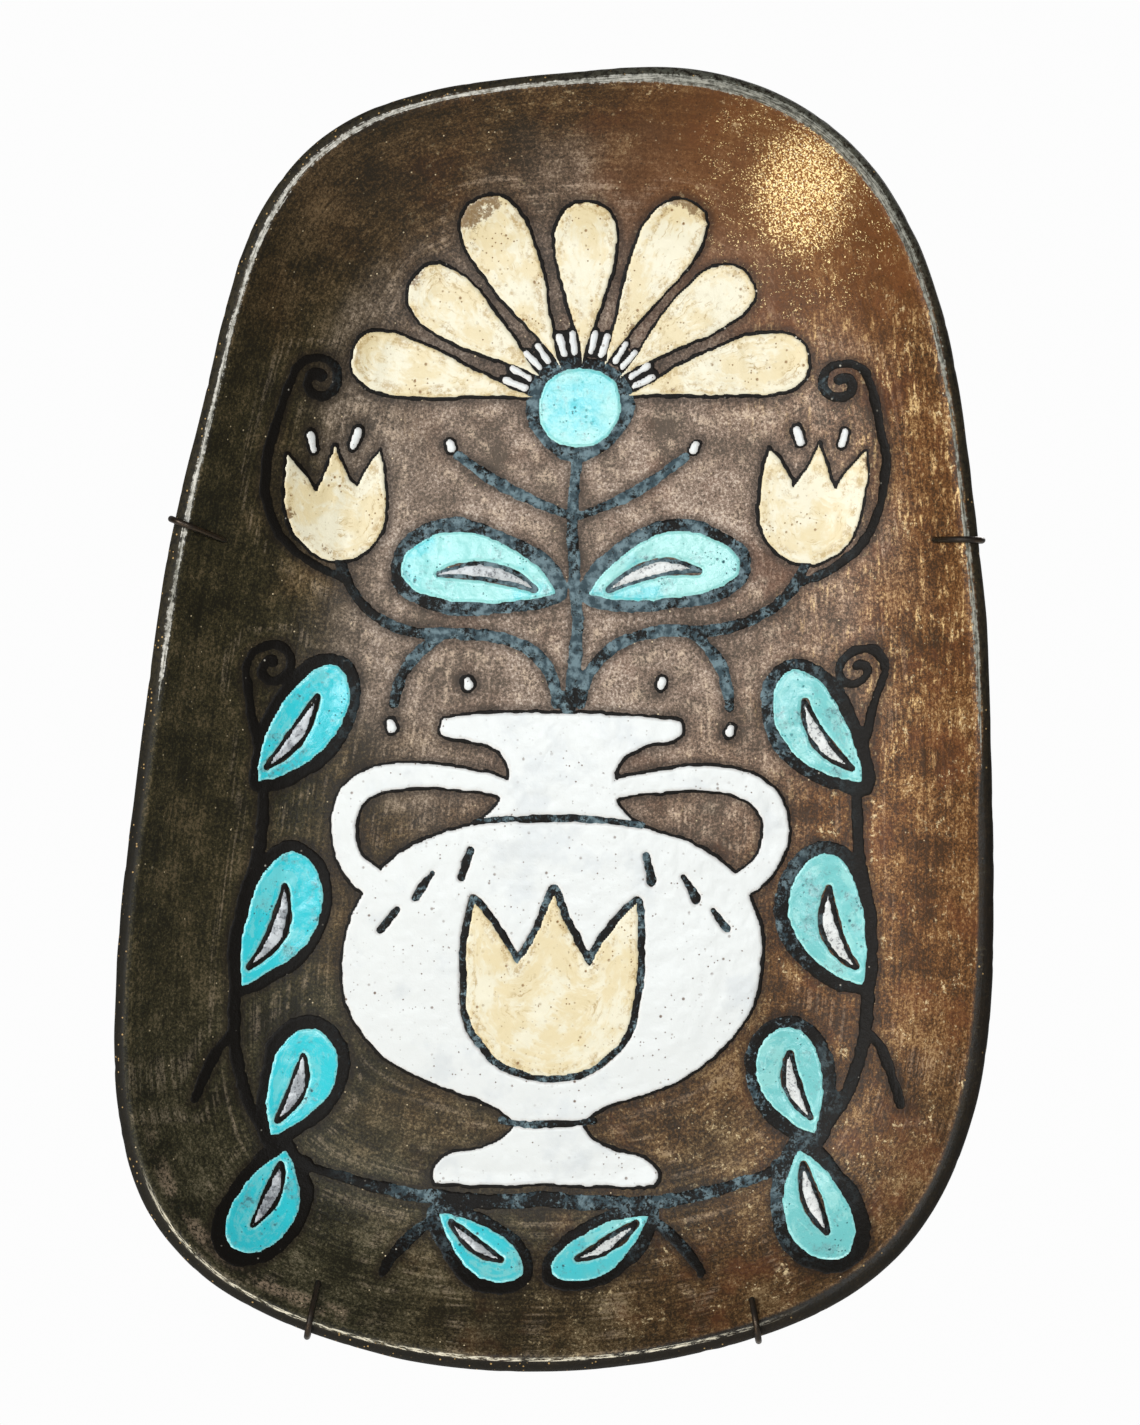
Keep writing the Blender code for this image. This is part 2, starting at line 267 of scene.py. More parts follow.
print("the peak's bend is", BEND_STEPS, "steps round a radius of", round(PEAK_BEND / MM), "mm")

# %% [markdown]
# The corners of each wire are now named one after another, from the left hook to the right. The
# springs bear on the outside of the catches' bends, so where they end follows from the same
# corners, and a change to a wire moves its springs with it.

# %% Whole routes
def on_plate(side, height):
    """A place in the nail's plane, given from the leaning plate's middle."""
    return Vector((side + LEAN * height, 0, height + MIDDLE))


def upper_stops():
    """Down to where a spring catches, up to the peak over the nail, and down and out again."""
    peak = Vector((0, 0, WIRE / 2 + PEAK_BEND * (1 / sin(PEAK_HALF_ANGLE) - 1)))
    drop = UPPER_CATCH_SIDE / tan(PEAK_HALF_ANGLE)
    catches = [Vector((side * UPPER_CATCH_SIDE, 0, peak.z - drop)) for side in (-1, 1)]
    middle = [(catches[0], CATCH_BEND), (peak, PEAK_BEND), (catches[1], CATCH_BEND)]
    return wire_stops(UPPER_ENDS, middle)


def lower_stops():
    """Up to where a spring catches, down in the middle, and the same on the other side."""
    across, height = LOWER_CATCH
    points = [on_plate(-across, height), on_plate(0, LOWER_DIP), on_plate(across, height)]
    return wire_stops(LOWER_ENDS, list(zip(points, (CATCH_BEND, PEAK_BEND, CATCH_BEND))))


def catch_points(stops, pull):
    """Where the springs bear on a wire: the lowest (-1) or highest (1) point of its catches."""
    catches = [k for k, (_, radius) in enumerate(stops) if radius == CATCH_BEND]
    return [arc_of(stops, k)[0] + Vector((0, 0, pull * CATCH_BEND)) for k in catches]


SPRING_ENDS = list(zip(catch_points(upper_stops(), -1), catch_points(lower_stops(), 1)))
print("the springs span", [round((top - bottom).length / MM) for top, bottom in SPRING_ENDS], "mm")

# %% [markdown]
# ## Unevenness by hand
#
# Hand-pressed clay, brush marks and hand-drawn lines are never quite even. One small function
# supplies all of that: random values on a lattice, blended smoothly between its points. It
# repeats after a chosen number of cells, so that marks round the rim meet where they began.

# %% Smooth noise
LATTICE = 256


def wander(u, v, seed, repeat=LATTICE):
    """Smooth noise from -1 to 1 over a random lattice that repeats after so many cells of u."""
    lattice = np.random.default_rng(seed).uniform(-1, 1, (repeat, LATTICE))
    column = np.floor(u).astype(int)
    row = np.floor(v).astype(int)
    along, across = [part * part * (3 - 2 * part) for part in (u - column, v - row)]

    def corner(right, up):
        return lattice[(column + right) % repeat, (row + up) % LATTICE]

    lower = corner(0, 0) * (1 - along) + corner(1, 0) * along
    upper = corner(0, 1) * (1 - along) + corner(1, 1) * along
    return lower * (1 - across) + upper * across


print("noise at four places:", wander(np.array([0.5, 1, 2, 3.7]), np.zeros(4), seed=1).round(2))

# %% [markdown]
# ## The clay
#
# On the real plate this is one slab, pressed over a mould and trimmed, with a low foot ring
# luted on behind. It could be an extruded outline with a bevel, but then the walls would not
# curl. Lofting rings through the section keeps every quad lined up with the rim, which is
# also how the brush went round. The foot is part of the same loft: the back rises over it, and
# sinks level again where the hanger's wires pass through the ring.

# %% Section of the whole plate
AROUND = 600  # points round a ring
FLOOR_RINGS = 38
WALL_RINGS = 46
LIP_RINGS = 14
BACK_RINGS = 20
BACK_SHARE = 0.86  # how far down the back's curve the foot begins
FOOT_TOP = 4 * MM  # Y of the foot, in the plane of the wall
FOOT_INSET = 53 * MM  # middle of the ring
FOOT_WIDTH = 6.5 * MM
FOOT_SHOULDER = ((0.1, 0), (0.0, 0.6), (-0.3, 0.94), (-0.9, 1))  # mm outwards, share of the height
FOOT_OPENING = 24 * MM


def clay_section():
    """Inset, Y and share of the foot's height for each ring, from the floor round to the foot."""
    section = [(*wall_section(1 - k / WALL_RINGS), 0) for k in range(WALL_RINGS)]
    section += [(*lip_section(pi * k / LIP_RINGS), 0) for k in range(LIP_RINGS + 1)]
    section += [(*wall_section(BACK_SHARE * k / BACK_RINGS, WALL), 0) for k in range(1, BACK_RINGS + 1)]
    outer, inner = FOOT_INSET - FOOT_WIDTH / 2, FOOT_INSET + FOOT_WIDTH / 2
    foot = [(outer - out * MM, share) for out, share in FOOT_SHOULDER]
    foot += [(FOOT_INSET, 1)]
    foot += [(inner + out * MM, share) for out, share in reversed(FOOT_SHOULDER)]
    for inset, share in foot:
        along_wall = min(1, (inset - LIP_INSET) / RUN)
        section.append((inset, wall_section(along_wall, WALL)[1], share))
    return section


SECTION = clay_section()
print(len(SECTION), "rings from the floor's edge over the lip to the foot")

# %% [markdown]
# The loft runs from the middle of the floor over the lip to the middle of the back. Each point
# also keeps how far it is along the section from the lip's crest, and how far up the foot it
# stands: glaze is wiped, rubbed and worn by such distances, so the finishes will ask for them.

# %% Loft
CLAY_RIM = Rim(AROUND)
FLOOR_MIDDLE = np.array((0, MIDDLE))
FLOOR_REACH = 60 * MM  # from the floor's edge to its middle, on the average
CROWDING = 1.3  # of the floor's rings towards its middle; 1 would be an even stride
FOOT_EASE = 1.2 * MM  # over which the foot ring drops at its openings


def foot_share():
    """1 round the foot ring, easing to 0 at the openings for the wires."""
    ring = CLAY_RIM.inside(FOOT_INSET)
    nearest = np.min([np.linalg.norm(ring - crossing, axis=1) for crossing in CROSSINGS], axis=0)
    return np.clip((nearest - FOOT_OPENING / 2) / FOOT_EASE, 0, 1)


def clay_points():
    """Points of every ring, each ring's way from the crest, and each point's share of the foot."""
    insets = np.array([(inset, y) for inset, y, _ in SECTION])
    travelled = np.append(0, np.cumsum(np.linalg.norm(np.diff(insets, axis=0), axis=1)))
    from_crest = travelled[WALL_RINGS + LIP_RINGS // 2] - travelled
    standing = foot_share()
    rings, lengths, feet = [], [], []

    def add_ring(flat, y, length, foot):
        rings.append(np.c_[flat[:, 0], np.broadcast_to(y, AROUND), flat[:, 1]])
        lengths.append(length)
        feet.append(foot)

    def add_disc(end, y, shares, way):
        """Rings that shrink from one end of the section to shares of their size."""
        edge = CLAY_RIM.inside(SECTION[end][0])
        for share in shares:
            flat = FLOOR_MIDDLE + (edge - FLOOR_MIDDLE) * share
            add_ring(flat, y, from_crest[end] + way * (1 - share) * FLOOR_REACH, np.zeros(AROUND))

    shares = 1 - (np.arange(FLOOR_RINGS) / FLOOR_RINGS) ** CROWDING * 0.98
    add_disc(0, wall_section(1)[1], shares[:0:-1], 1)
    for (inset, y, lift), length in zip(SECTION, from_crest):
        foot = lift * standing
        add_ring(CLAY_RIM.inside(inset), y + (FOOT_TOP - y) * lift * standing, length, foot)
    add_disc(-1, BACK, shares[1:], -1)
    return np.array(rings), np.array(lengths), np.array(feet)


RINGS, FROM_CREST, ON_FOOT = clay_points()
print(RINGS.shape[0], "rings of", AROUND, "points")

# %% [markdown]
# The surface is not smooth: the slab swells and sinks a little under the hand, the brush left
# ridges in the glaze round the wall, and the lip is rubbed and nicked. A displace modifier could
# do it from a texture, but moving the points along their normals in code keeps each kind of
# mark on its own part of the section, and the pools of enamel can then be laid on the real relief.

# %% Relief of hand and brush
def relief():
    """How far each point stands out from the even surface."""
    length = FROM_CREST[:, None]
    place = np.broadcast_to(CLAY_RIM.places, RINGS.shape[:2])
    x, z = RINGS[..., 0], RINGS[..., 2]
    pressed = 0.30 * wander(x / (38 * MM) + 9, z / (38 * MM) + 9, seed=11)
    pressed = pressed + 0.10 * wander(x / (14 * MM) + 9, z / (14 * MM) + 9, seed=12)
    strokes, dents = [round(CLAY_RIM.length / apart) for apart in (34 * MM, 7 * MM)]

    def round_rim(count, size, seed):
        """Noise with so many features round the rim, each of a given size across it."""
        return wander(place / CLAY_RIM.length * count, length / size + 99, seed, count)

    brushed = round_rim(strokes, 2.1 * MM, 13) + 0.6 * round_rim(2 * strokes, 1.2 * MM, 14)
    patchy = round_rim(dents, 4 * MM, 15)
    nicks = np.clip(round_rim(3 * dents, 2.4 * MM, 16) - 0.62, 0, 1)
    on_front = np.clip(length / (6 * MM), 0, 1)
    on_lip = np.clip(1 - abs(length) / (6 * MM), 0, 1)
    marks = pressed + 0.055 * brushed * on_front + on_lip * (0.16 * patchy - 0.9 * nicks)
    return MM * (1 - ON_FOOT) * marks


RELIEF = relief()
print(f"the relief runs from {RELIEF.min() / MM:.2f} to {RELIEF.max() / MM:.2f} mm")

# %% [markdown]
# The rings become one closed skin of quads, with a fan of triangles in the middle of each side.
# A mesh can hold named values at its points, so each point's way from the crest and its share of
# the foot go in with it, and the finishes read them by name.

# %% Clay
def add_mesh(name, points, faces, values=None):
    """A smooth-shaded mesh object, with a named value at each point for the materials to read."""
    mesh = bpy.data.meshes.new(name)
    mesh.from_pydata(points, [], faces)
    mesh.shade_smooth()
    for value_name, numbers in (values or {}).items():
        layer = mesh.attributes.new(value_name, "FLOAT", "POINT")
        layer.data.foreach_set("value", np.ravel(numbers))
    made = bpy.data.objects.new(name, mesh)
    bpy.context.collection.objects.link(made)
    return made


def push_out(piece, distances):
    """Move each point of a mesh so far along its normal."""
    count = len(piece.data.vertices)
    points, normals = np.empty(count * 3), np.empty(count * 3)
    piece.data.vertices.foreach_get("co", points)
    piece.data.vertex_normals.foreach_get("vector", normals)
    moved = points.reshape(-1, 3) + normals.reshape(-1, 3) * distances[:, None]
    piece.data.vertices.foreach_set("co", moved.ravel())
    piece.data.update()


def make_clay():
    """The whole dish as one closed skin."""
    count = len(RINGS)
    index = np.arange(count * AROUND).reshape(count, AROUND)
    quads = np.stack((index[:-1], index[1:], np.roll(index[1:], -1, 1), np.roll(index[:-1], -1, 1)), -1)
    front, back = count * AROUND, count * AROUND + 1
    faces = quads.reshape(-1, 4).tolist()
    faces += [(front, index[0, k - 1], index[0, k]) for k in range(AROUND)]
    faces += [(back, index[-1, k], index[-1, k - 1]) for k in range(AROUND)]
    centres = [(FLOOR_MIDDLE[0], ring[0, 1], FLOOR_MIDDLE[1]) for ring in (RINGS[0], RINGS[-1])]
    points = np.vstack((RINGS.reshape(-1, 3), centres))
    crest = np.append(np.repeat(FROM_CREST, AROUND), (FROM_CREST[0], FROM_CREST[-1]))
    foot = np.append(ON_FOOT.ravel(), (0, 0))
    made = add_mesh("plate_clay", points, faces, {"from_crest": crest / MM, "foot": foot})
    push_out(made, np.append(RELIEF.ravel(), (RELIEF[0].mean(), RELIEF[-1].mean())))
    return made


clay = make_clay()
print("the clay has", len(clay.data.polygons), "faces")

# %% [markdown]
# ## The drawing board
#
# The picture is drawn in black, and each shape is then flooded with enamel. Here each enamel is
# kept as a field: for every place on a fine board, the distance to the edge of that enamel, below
# zero inside it. Fields are easy to join, to grow into an outline and to cut from each other,
# where polygons would need a boolean for each step. The board leans as the plate does, and the
# places that the shapes see are bent a little, as lines drawn freehand are.

# %% Board
CELL = 0.55 * MM
BOARD_SIDE, BOARD_HEIGHT = 102 * MM, 162 * MM  # half of each
PLAN_WIDTH, PLAN_HEIGHT = 1.07, 1.03  # how much larger the picture is painted than its plan
FAR = 50 * MM
HAND = 1.3 * MM  # how far a line strays from its plan

board_side, board_height = np.meshgrid(
    np.arange(-BOARD_SIDE, BOARD_SIDE, CELL), np.arange(-BOARD_HEIGHT, BOARD_HEIGHT, CELL)
)


def unsteady(size, seed):
    """Noise over the board, with features of a given size."""
    return wander(board_side / size + 128, board_height / size + 128, seed)


SIDE = board_side + HAND * unsteady(36 * MM, 21) + 0.25 * HAND * unsteady(9 * MM, 22)
UP = board_height + HAND * unsteady(36 * MM, 23) + 0.25 * HAND * unsteady(9 * MM, 24)
RAGGED = 0.25 * MM * unsteady(1.5 * MM, 25) + 0.22 * MM * unsteady(4 * MM, 26)


def covered(field):
    """How much of the board lies inside a field, in words."""
    return f"{(field < 0).sum() * CELL**2 * 1e4:.0f} square centimetres"


print("the board covers", covered(np.full(SIDE.shape, -FAR)))

# %% [markdown]
# The plans are given in millimetres from the plate's middle. A curve is drawn through every other
# stop and towards those between, as with a bent ruler, and comes out as short straight pieces,
# because the distance to a straight piece is quick to work out for a whole board.

# %% Curves and distances
def curve(*stops):
    """Points through the first, third, fifth... stop, bent towards the stops between."""
    stops = np.array(stops, float)
    share = np.linspace(0, 1, 13)[:-1, None]
    pieces = []
    for start, pull, end in zip(stops[:-2:2], stops[1::2], stops[2::2]):
        pieces.append(start * (1 - share) ** 2 + 2 * pull * share * (1 - share) + end * share**2)
    return np.vstack(pieces + [stops[-1:]])


def piece_distance(side, up, start, end, widths=(0, 0)):
    """Distance from places to a straight piece that is so wide at its ends."""
    along = end - start
    share = ((side - start[0]) * along[0] + (up - start[1]) * along[1]) / max(along @ along, 1e-12)
    share = np.clip(share, 0, 1)
    reach = np.hypot(side - start[0] - along[0] * share, up - start[1] - along[1] * share)
    return reach - (widths[0] + (widths[1] - widths[0]) * share) / 2


def near(points, margin=7 * MM):
    """The part of the board round some points."""
    low = (points.min(axis=0) - margin + (BOARD_SIDE, BOARD_HEIGHT)) / CELL
    high = (points.max(axis=0) + margin + (BOARD_SIDE, BOARD_HEIGHT)) / CELL
    (left, bottom), (right, top) = np.maximum(low, 0).astype(int), np.maximum(high, 0).astype(int)
    return np.s_[bottom:top, left:right]


print("a curve through three stops has", len(curve((0, 0), (1, 1), (2, 0))), "points")

# %% [markdown]
# Two tools are enough: a flooded outline, and a stroke of the brush that can swell and taper. Each
# also comes as a pair, since nearly everything stands on both sides of the picture.

# %% Flooding and brushing
def flood(field, plan):
    """Join a closed outline to a field."""
    points = np.array(plan) * (PLAN_WIDTH * MM, PLAN_HEIGHT * MM)
    part = near(points)
    side, up = SIDE[part], UP[part]
    distance = np.full(side.shape, FAR)
    inside = np.zeros(side.shape, bool)
    for start, end in zip(points, np.roll(points, -1, axis=0)):
        distance = np.minimum(distance, piece_distance(side, up, start, end))
        if start[1] != end[1]:
            across = start[0] + (end[0] - start[0]) * (up - start[1]) / (end[1] - start[1])
            inside ^= ((start[1] > up) != (end[1] > up)) & (side < across)
    field[part] = np.minimum(field[part], np.where(inside, -distance, distance))


def brush(field, plan, widths):
    """Join a stroke to a field, its widths in millimetres given at even strides along it."""
    points = np.array(plan) * (PLAN_WIDTH * MM, PLAN_HEIGHT * MM)
    part = near(points)
    share = np.linspace(0, 1, len(points))
    wide = np.interp(share, np.linspace(0, 1, len(widths)), widths) * MM
    for k in range(len(points) - 1):
        distance = piece_distance(SIDE[part], UP[part], points[k], points[k + 1], wide[k : k + 2])
        field[part] = np.minimum(field[part], distance)


def mirrored(points):
    """A plan turned over for the left side."""
    return np.array(points, float) * (-1, 1)


def flood_pair(field, plan):
    """Join a closed outline and its mirror image to a field."""
    flood(field, plan)
    flood(field, mirrored(plan))


def brush_pair(field, plan, widths):
    """Join a stroke and its mirror image to a field."""
    brush(field, plan, widths)
    brush(field, mirrored(plan), widths)


print("the picture is painted", PLAN_WIDTH, "times as wide as its plan")

# %% [markdown]
# Leaves, petals and tendrils come up again and again, so they have formulas. Two powers shape a
# leaf's ends, from pointed to round, and a spiral's radius shrinks evenly as it winds.

# %% Leaves and spirals
def leaf(base, tip, width, powers=(0.85, 0.55), bend=0.0):
    """Outline of a leaf or petal: a power of 1 ends it in a point, and a half in a round."""
    base, tip = np.array(base, float), np.array(tip, float)
    across = np.array((base[1] - tip[1], tip[0] - base[0])) / np.linalg.norm(tip - base)
    share = (1 - np.cos(np.linspace(0, pi, 19))) / 2
    half = share ** powers[0] * (1 - share) ** powers[1]
    half = half / half.max() * width / 2
    spine = base + (tip - base) * share[:, None] + across * (4 * bend * share * (1 - share))[:, None]
    return np.vstack((spine + across * half[:, None], (spine - across * half[:, None])[-2:0:-1]))


def spiral(middle, radius, start, turns):
    """A line that winds in towards its middle from an angle, anticlockwise if turns are positive."""
    share = np.linspace(0, 1, 26)
    angle = radians(start) + 2 * pi * turns * share
    reach = radius * (1 - 0.8 * share)
    return np.stack((middle[0] + reach * np.cos(angle), middle[1] + reach * np.sin(angle)), axis=1)


print("a leaf's outline has", len(leaf((0, 0), (0, 40), 17)), "points")

# %% [markdown]
# ## The picture
#
# The picture is an old pottery subject, flowers in an urn: a white two-handled urn stands on a
# branch, and a fan of cream petals rises from it between tulips, blue leaves and tendrils. Both
# sides are drawn with the same plan, and the board's bending keeps them from being copies. Each
# colour has a field of its own, so that shapes that meet run together as they do in the kiln.
#
# The urn is one pool of white with two looped handles. Half of it is planned, and turned over for
# the other half, as a potter would cut it from folded paper.

# %% White urn
white, cream, turquoise, sliver, stems, badge, bands = [np.full(SIDE.shape, FAR) for _ in range(7)]

URN_SIDE = curve(  # right half of the urn, from the foot up to the mouth
    (0, -127), (16, -128), (29, -127), (32, -123), (25, -119), (11, -117), (9, -111),
    (12, -106), (28, -101), (56, -90), (56, -66), (56, -38), (24, -30), (14, -26), (14, -16),
    (14, -8), (27, -6), (34, -5), (31, 0), (24, 1), (12, 1), (0, 1),
)
HANDLE = curve((13, -20), (28, -15), (42, -16), (60, -18), (57, -34), (55, -43), (44, -47))
flood(white, np.vstack((URN_SIDE, mirrored(URN_SIDE)[::-1])))
brush_pair(white, HANDLE, (5, 7, 8, 7, 8))
print("white covers", covered(white))

# %% [markdown]
# A cream tulip with three points fills the urn's belly, and short black bands stand on its neck,
# its shoulders and its foot. The tulip is planned one unit wide and high, so that the same shape
# also serves for the flowers beside the fan, at another size and tilt.

# %% Tulip and bands on the urn
def tulip(base, height, width, tilt=0.0):
    """Outline of a tulip with three points, from its base, tilted clockwise in degrees."""
    half = curve(
        (0, 0), (0.30, 0.0), (0.46, 0.30), (0.56, 0.62), (0.47, 1.0),
        (0.30, 0.84), (0.21, 0.66), (0.10, 0.80), (0, 1.06),
    )
    shape = np.vstack((half, mirrored(half)[::-1])) * (width, height)
    turn = radians(tilt)
    turned = shape @ np.array(((cos(turn), -sin(turn)), (sin(turn), cos(turn))))
    return turned + np.array(base)


flood(badge, tulip((0, -98), 48, 46))
brush(bands, curve((-22, -29), (0, -25), (22, -29)), (1.2, 1.9, 1.2))
brush(bands, curve((-12, -110), (0, -113), (12, -110)), (1.2, 1.9, 1.2))
for mark in (((23, -37), (25, -44)), ((33, -43), (37, -49)), ((42, -52), (46, -57))):
    brush_pair(bands, mark, (1.6, 2.2))
print("the tulip on the urn covers", covered(badge))

# %% [markdown]
# The stems are drawn with a loaded brush that swells where it is pressed and thins as it lifts,
# so each is a stroke with its widths along the way. The tendrils end in spirals, wound by a
# formula, since a spiral by hand-placed points soon looks dented.

# %% Stems and tendrils
brush(stems, curve((0, 2), (3, 20), (0, 40), (-2, 56), (0, 74)), (3.8, 3.0, 2.8))
BRANCH = curve((-64, -122), (-34, -134), (0, -131), (36, -135), (64, -122))
brush(stems, BRANCH, (2.2, 3.6, 4.0, 3.6, 2.2))
SPRIGS = (  # each on the right side, with its widths along the way
    (curve((3, 4), (6, 26), (34, 24), (57, 24), (62, 46)), (3.4, 2.8, 2.8)),
    (curve((62, -122), (80, -114), (83, -88), (85, -60), (80, -40), (77, -22), (80, -4)), (2.8, 3.2, 2.6)),
    (curve((80, -6), (82, 4), (84, 12)), (2.6, 2.2)),
    (spiral((77, 14), 7, 0, 1.25), (2.2, 2.2, 3.0)),
    (curve((60, 38), (84, 46), (80, 74), (78, 84), (76, 92)), (2.2, 2.4, 2.0)),
    (spiral((69, 92), 7, 0, 1.3), (2.0, 2.2, 3.0)),
    (curve((32, 24), (43, 18), (44, 4)), (2.2, 3.2, 2.6)),
    (curve((22, -132), (36, -139), (42, -150)), (2.2, 3.2, 2.4)),
    (curve((83, -84), (90, -92), (93, -104)), (2.0, 3.0, 2.4)),
    (curve((0, 56), (14, 60), (30, 72)), (2.0, 3.0, 2.4)),
)
for plan, widths in SPRIGS:
    brush_pair(stems, plan, widths)
print("the stems cover", covered(stems))

# %% [markdown]
# Seven cream petals fan out from a turquoise heart, with pairs of white strokes between them. On
# the real plate such petals swell towards a round tip, which the two powers of the leaf give. A
# loop over the angles keeps them even, and every other petal is a little longer.

# %% Fan flower
FAN_BASE = np.array((0, 86))


def outwards(angle):
    """The direction at an angle from the right, anticlockwise in degrees."""
    return np.array((cos(radians(angle)), sin(radians(angle))))


for k, angle in enumerate((13, 39, 64, 90, 116, 141, 167)):
    reach = 59 + 3 * (-1) ** k
    petal = leaf(FAN_BASE + 11 * outwards(angle), FAN_BASE + reach * outwards(angle), 16.5, (1.5, 0.42))
    flood(cream, petal)
for angle in (26, 51, 77, 103, 129, 154):
    for apart in (-5, 5):
        ray = outwards(angle + apart)
        brush(white, (FAN_BASE + 15.5 * ray, FAN_BASE + 20.5 * ray), (2.2, 2.2))
HEART = curve((-11, 85), (-11, 97), (0, 97), (11, 97), (11, 85), (9, 75), (0, 75), (-9, 75), (-11, 85))
flood(turquoise, HEART[:-1])
print("the fan covers", covered(cream))

# %% [markdown]
# A tulip stands at each end of the long stems, with two white stamens over it, and white dots end
# the small sprigs. A dot is a very short stroke, which gives it the lopsided round of a real one.

# %% Side tulips and dots
flood_pair(cream, tulip((61, 43), 31, 26, 4))
for lean in (74, 104):
    start = np.array((62, 56)) + 20 * outwards(lean - 4)
    brush_pair(white, (start, start + 4 * outwards(lean)), (2.2, 2.4))
for dot in ((25, 9), (44, -3), (32, 74)):
    brush_pair(white, (dot, np.add(dot, (0.5, 1.5))), (2.6, 2.2))
print("cream covers", covered(cream))

# %% [markdown]
# The leaves are turquoise, each with a pale sliver for its vein. Both come from the same outline,
# so the sliver is the leaf again, slimmer, pointed at both ends and shorter.

# %% Leaves
LEAVES = (  # base, tip, width and bend of each on the right side
    ((4, 34), (45, 43), 19, 3),
    ((68, -118), (78, -145), 17, -1),
    ((72, -114), (62, -84), 18, 2),
    ((82, -72), (69, -36), 19, 3),
    ((80, -17), (59, 14), 17, 2),
    ((28, -135), (4, -151), 12, 1),
)
for base, tip, width, bend in LEAVES:
    along = np.subtract(tip, base)
    flood_pair(turquoise, leaf(base, tip, width, bend=bend))
    flood_pair(sliver, leaf(base + 0.14 * along, base + 0.74 * along, 0.19 * width, (1, 1), bend))
print("turquoise covers", covered(turquoise))

# %% [markdown]
# ## What lies over what
#
# The potter drew the black first and flooded the colours up to it, a little over its edge. Round
# the leaves the black is a broad band, round the white and cream fields only a thin, broken line.
# Growing a field by subtracting from it makes both, and taking its inside away keeps the meshes
# light. The edges are then made ragged, since enamel creeps as it melts.

# %% Layers of enamel
OUTLINE = 3.4 * MM  # how far the black band shows round a leaf
THIN_LINE = 1.0 * MM
UNDER = 1.3 * MM  # how far a line reaches under the enamel that it edges


def band(field, reach):
    """A band round a field's edge, so far outside it and a little way under it."""
    return np.maximum(field - reach, -field - UNDER)


pressure = 1 + 0.28 * unsteady(11 * MM, 31)  # of the brush
black = np.minimum.reduce((
    stems - 0.3 * MM,
    band(turquoise, OUTLINE * pressure),
    sliver - 1.1 * MM * pressure,
    band(badge, 2.1 * MM * pressure),
    bands - 0.5 * MM,
))
LAYERS = {  # the edge of each enamel, and its thickness
    "black_line": (black + RAGGED, 0.16 * MM),
    "thin_line": (band(np.minimum(white, cream), THIN_LINE * pressure) + RAGGED, 0.08 * MM),
    "turquoise": (np.maximum(turquoise + RAGGED, 0.9 * MM - sliver + RAGGED), 0.40 * MM),
    "sliver": (sliver + RAGGED, 0.34 * MM),
    "cream": (np.minimum(cream, badge) + RAGGED, 0.34 * MM),
    "white": (np.maximum.reduce((white + RAGGED, 1.7 * MM - badge - RAGGED, -bands - RAGGED)), 0.36 * MM),
}
for name, (edge, _) in LAYERS.items():
    print(name, "covers", covered(edge))

# %% [markdown]
# ## From a field to a pool of enamel
#
# Marching squares turns a field into faces: a cell wholly inside is a quad, and a cell on the
# edge is cut where the distance passes zero. A Grease Pencil or curve object would be quicker,
# but it would neither follow the relief nor swell like melted glass.

# %% Marching squares
NEAREST_CUT = 0.06  # share of a cell's side that a cut keeps off its ends, against slim faces


def cut_cells(edge):
    """Points on the board in cells, faces, and the open edges, where a field is below zero."""
    inside = edge < 0
    index = -np.ones(edge.shape, int)
    rows, columns = np.nonzero(inside)
    index[rows, columns] = np.arange(len(rows))
    points = list(zip(columns.astype(float), rows.astype(float)))
    full = inside[:-1, :-1] & inside[:-1, 1:] & inside[1:, 1:] & inside[1:, :-1]
    some = inside[:-1, :-1] | inside[:-1, 1:] | inside[1:, 1:] | inside[1:, :-1]
    row, column = np.nonzero(full)
    corners = [index[row + up, column + right] for up, right in ((0, 0), (0, 1), (1, 1), (1, 0))]
    faces = np.stack(corners, axis=1).tolist()
    open_edges, cuts = [], {}

    def cut(first, second):
        """The point where the edge crosses one side of a cell."""
        key = (min(first, second), max(first, second))
        if key not in cuts:
            start, end = edge[key[0]], edge[key[1]]
            share = np.clip(start / (start - end), NEAREST_CUT, 1 - NEAREST_CUT)
            cuts[key] = len(points)
            (row_a, column_a), (row_b, column_b) = key
            points.append((column_a + (column_b - column_a) * share, row_a + (row_b - row_a) * share))
        return cuts[key]

    for row, column in zip(*np.nonzero(some & ~full)):
        square = ((row, column), (row, column + 1), (row + 1, column + 1), (row + 1, column))
        walk = []
        for here, following in zip(square, square[1:] + square[:1]):
            if inside[here]:
                walk.append((index[here], False))
            if inside[here] != inside[following]:
                walk.append((cut(here, following), True))
        faces.append([point for point, _ in walk])
        for (point, is_cut), (other, also_cut) in zip(walk, walk[1:] + walk[:1]):
            if is_cut and also_cut:
                open_edges.append((point, other))
    return np.array(points), faces, open_edges


print("the white enamel has", len(cut_cells(LAYERS["white"][0])[1]), "cells")

# %% [markdown]
# The faces are laid on the dish by casting a ray to it from the front, and raised in a bead whose
# shoulder is round, as surface tension leaves it. Sides and a base under the clay's skin close
# each pool into a solid. A shrinkwrap modifier would lay them too, but would not leave the
# thickness to swell and sink, which is what catches the light on poured glass.

# %% Laying on the clay
clay_tree = BVHTree.FromPolygons(
    [point.co for point in clay.data.vertices], [face.vertices for face in clay.data.polygons]
)
SINK = 0.10 * MM  # of a pool's edge into the clay
BASE = 0.35 * MM  # of a pool's underside
SHOULDER = 0.7 * MM  # over which a pool rises from its edge


def clay_front(side, height):
    """Y of the dish's face at a place."""
    hit = clay_tree.ray_cast(Vector((side, -0.1, height)), Vector((0, 1, 0)))[0]
    return hit.y


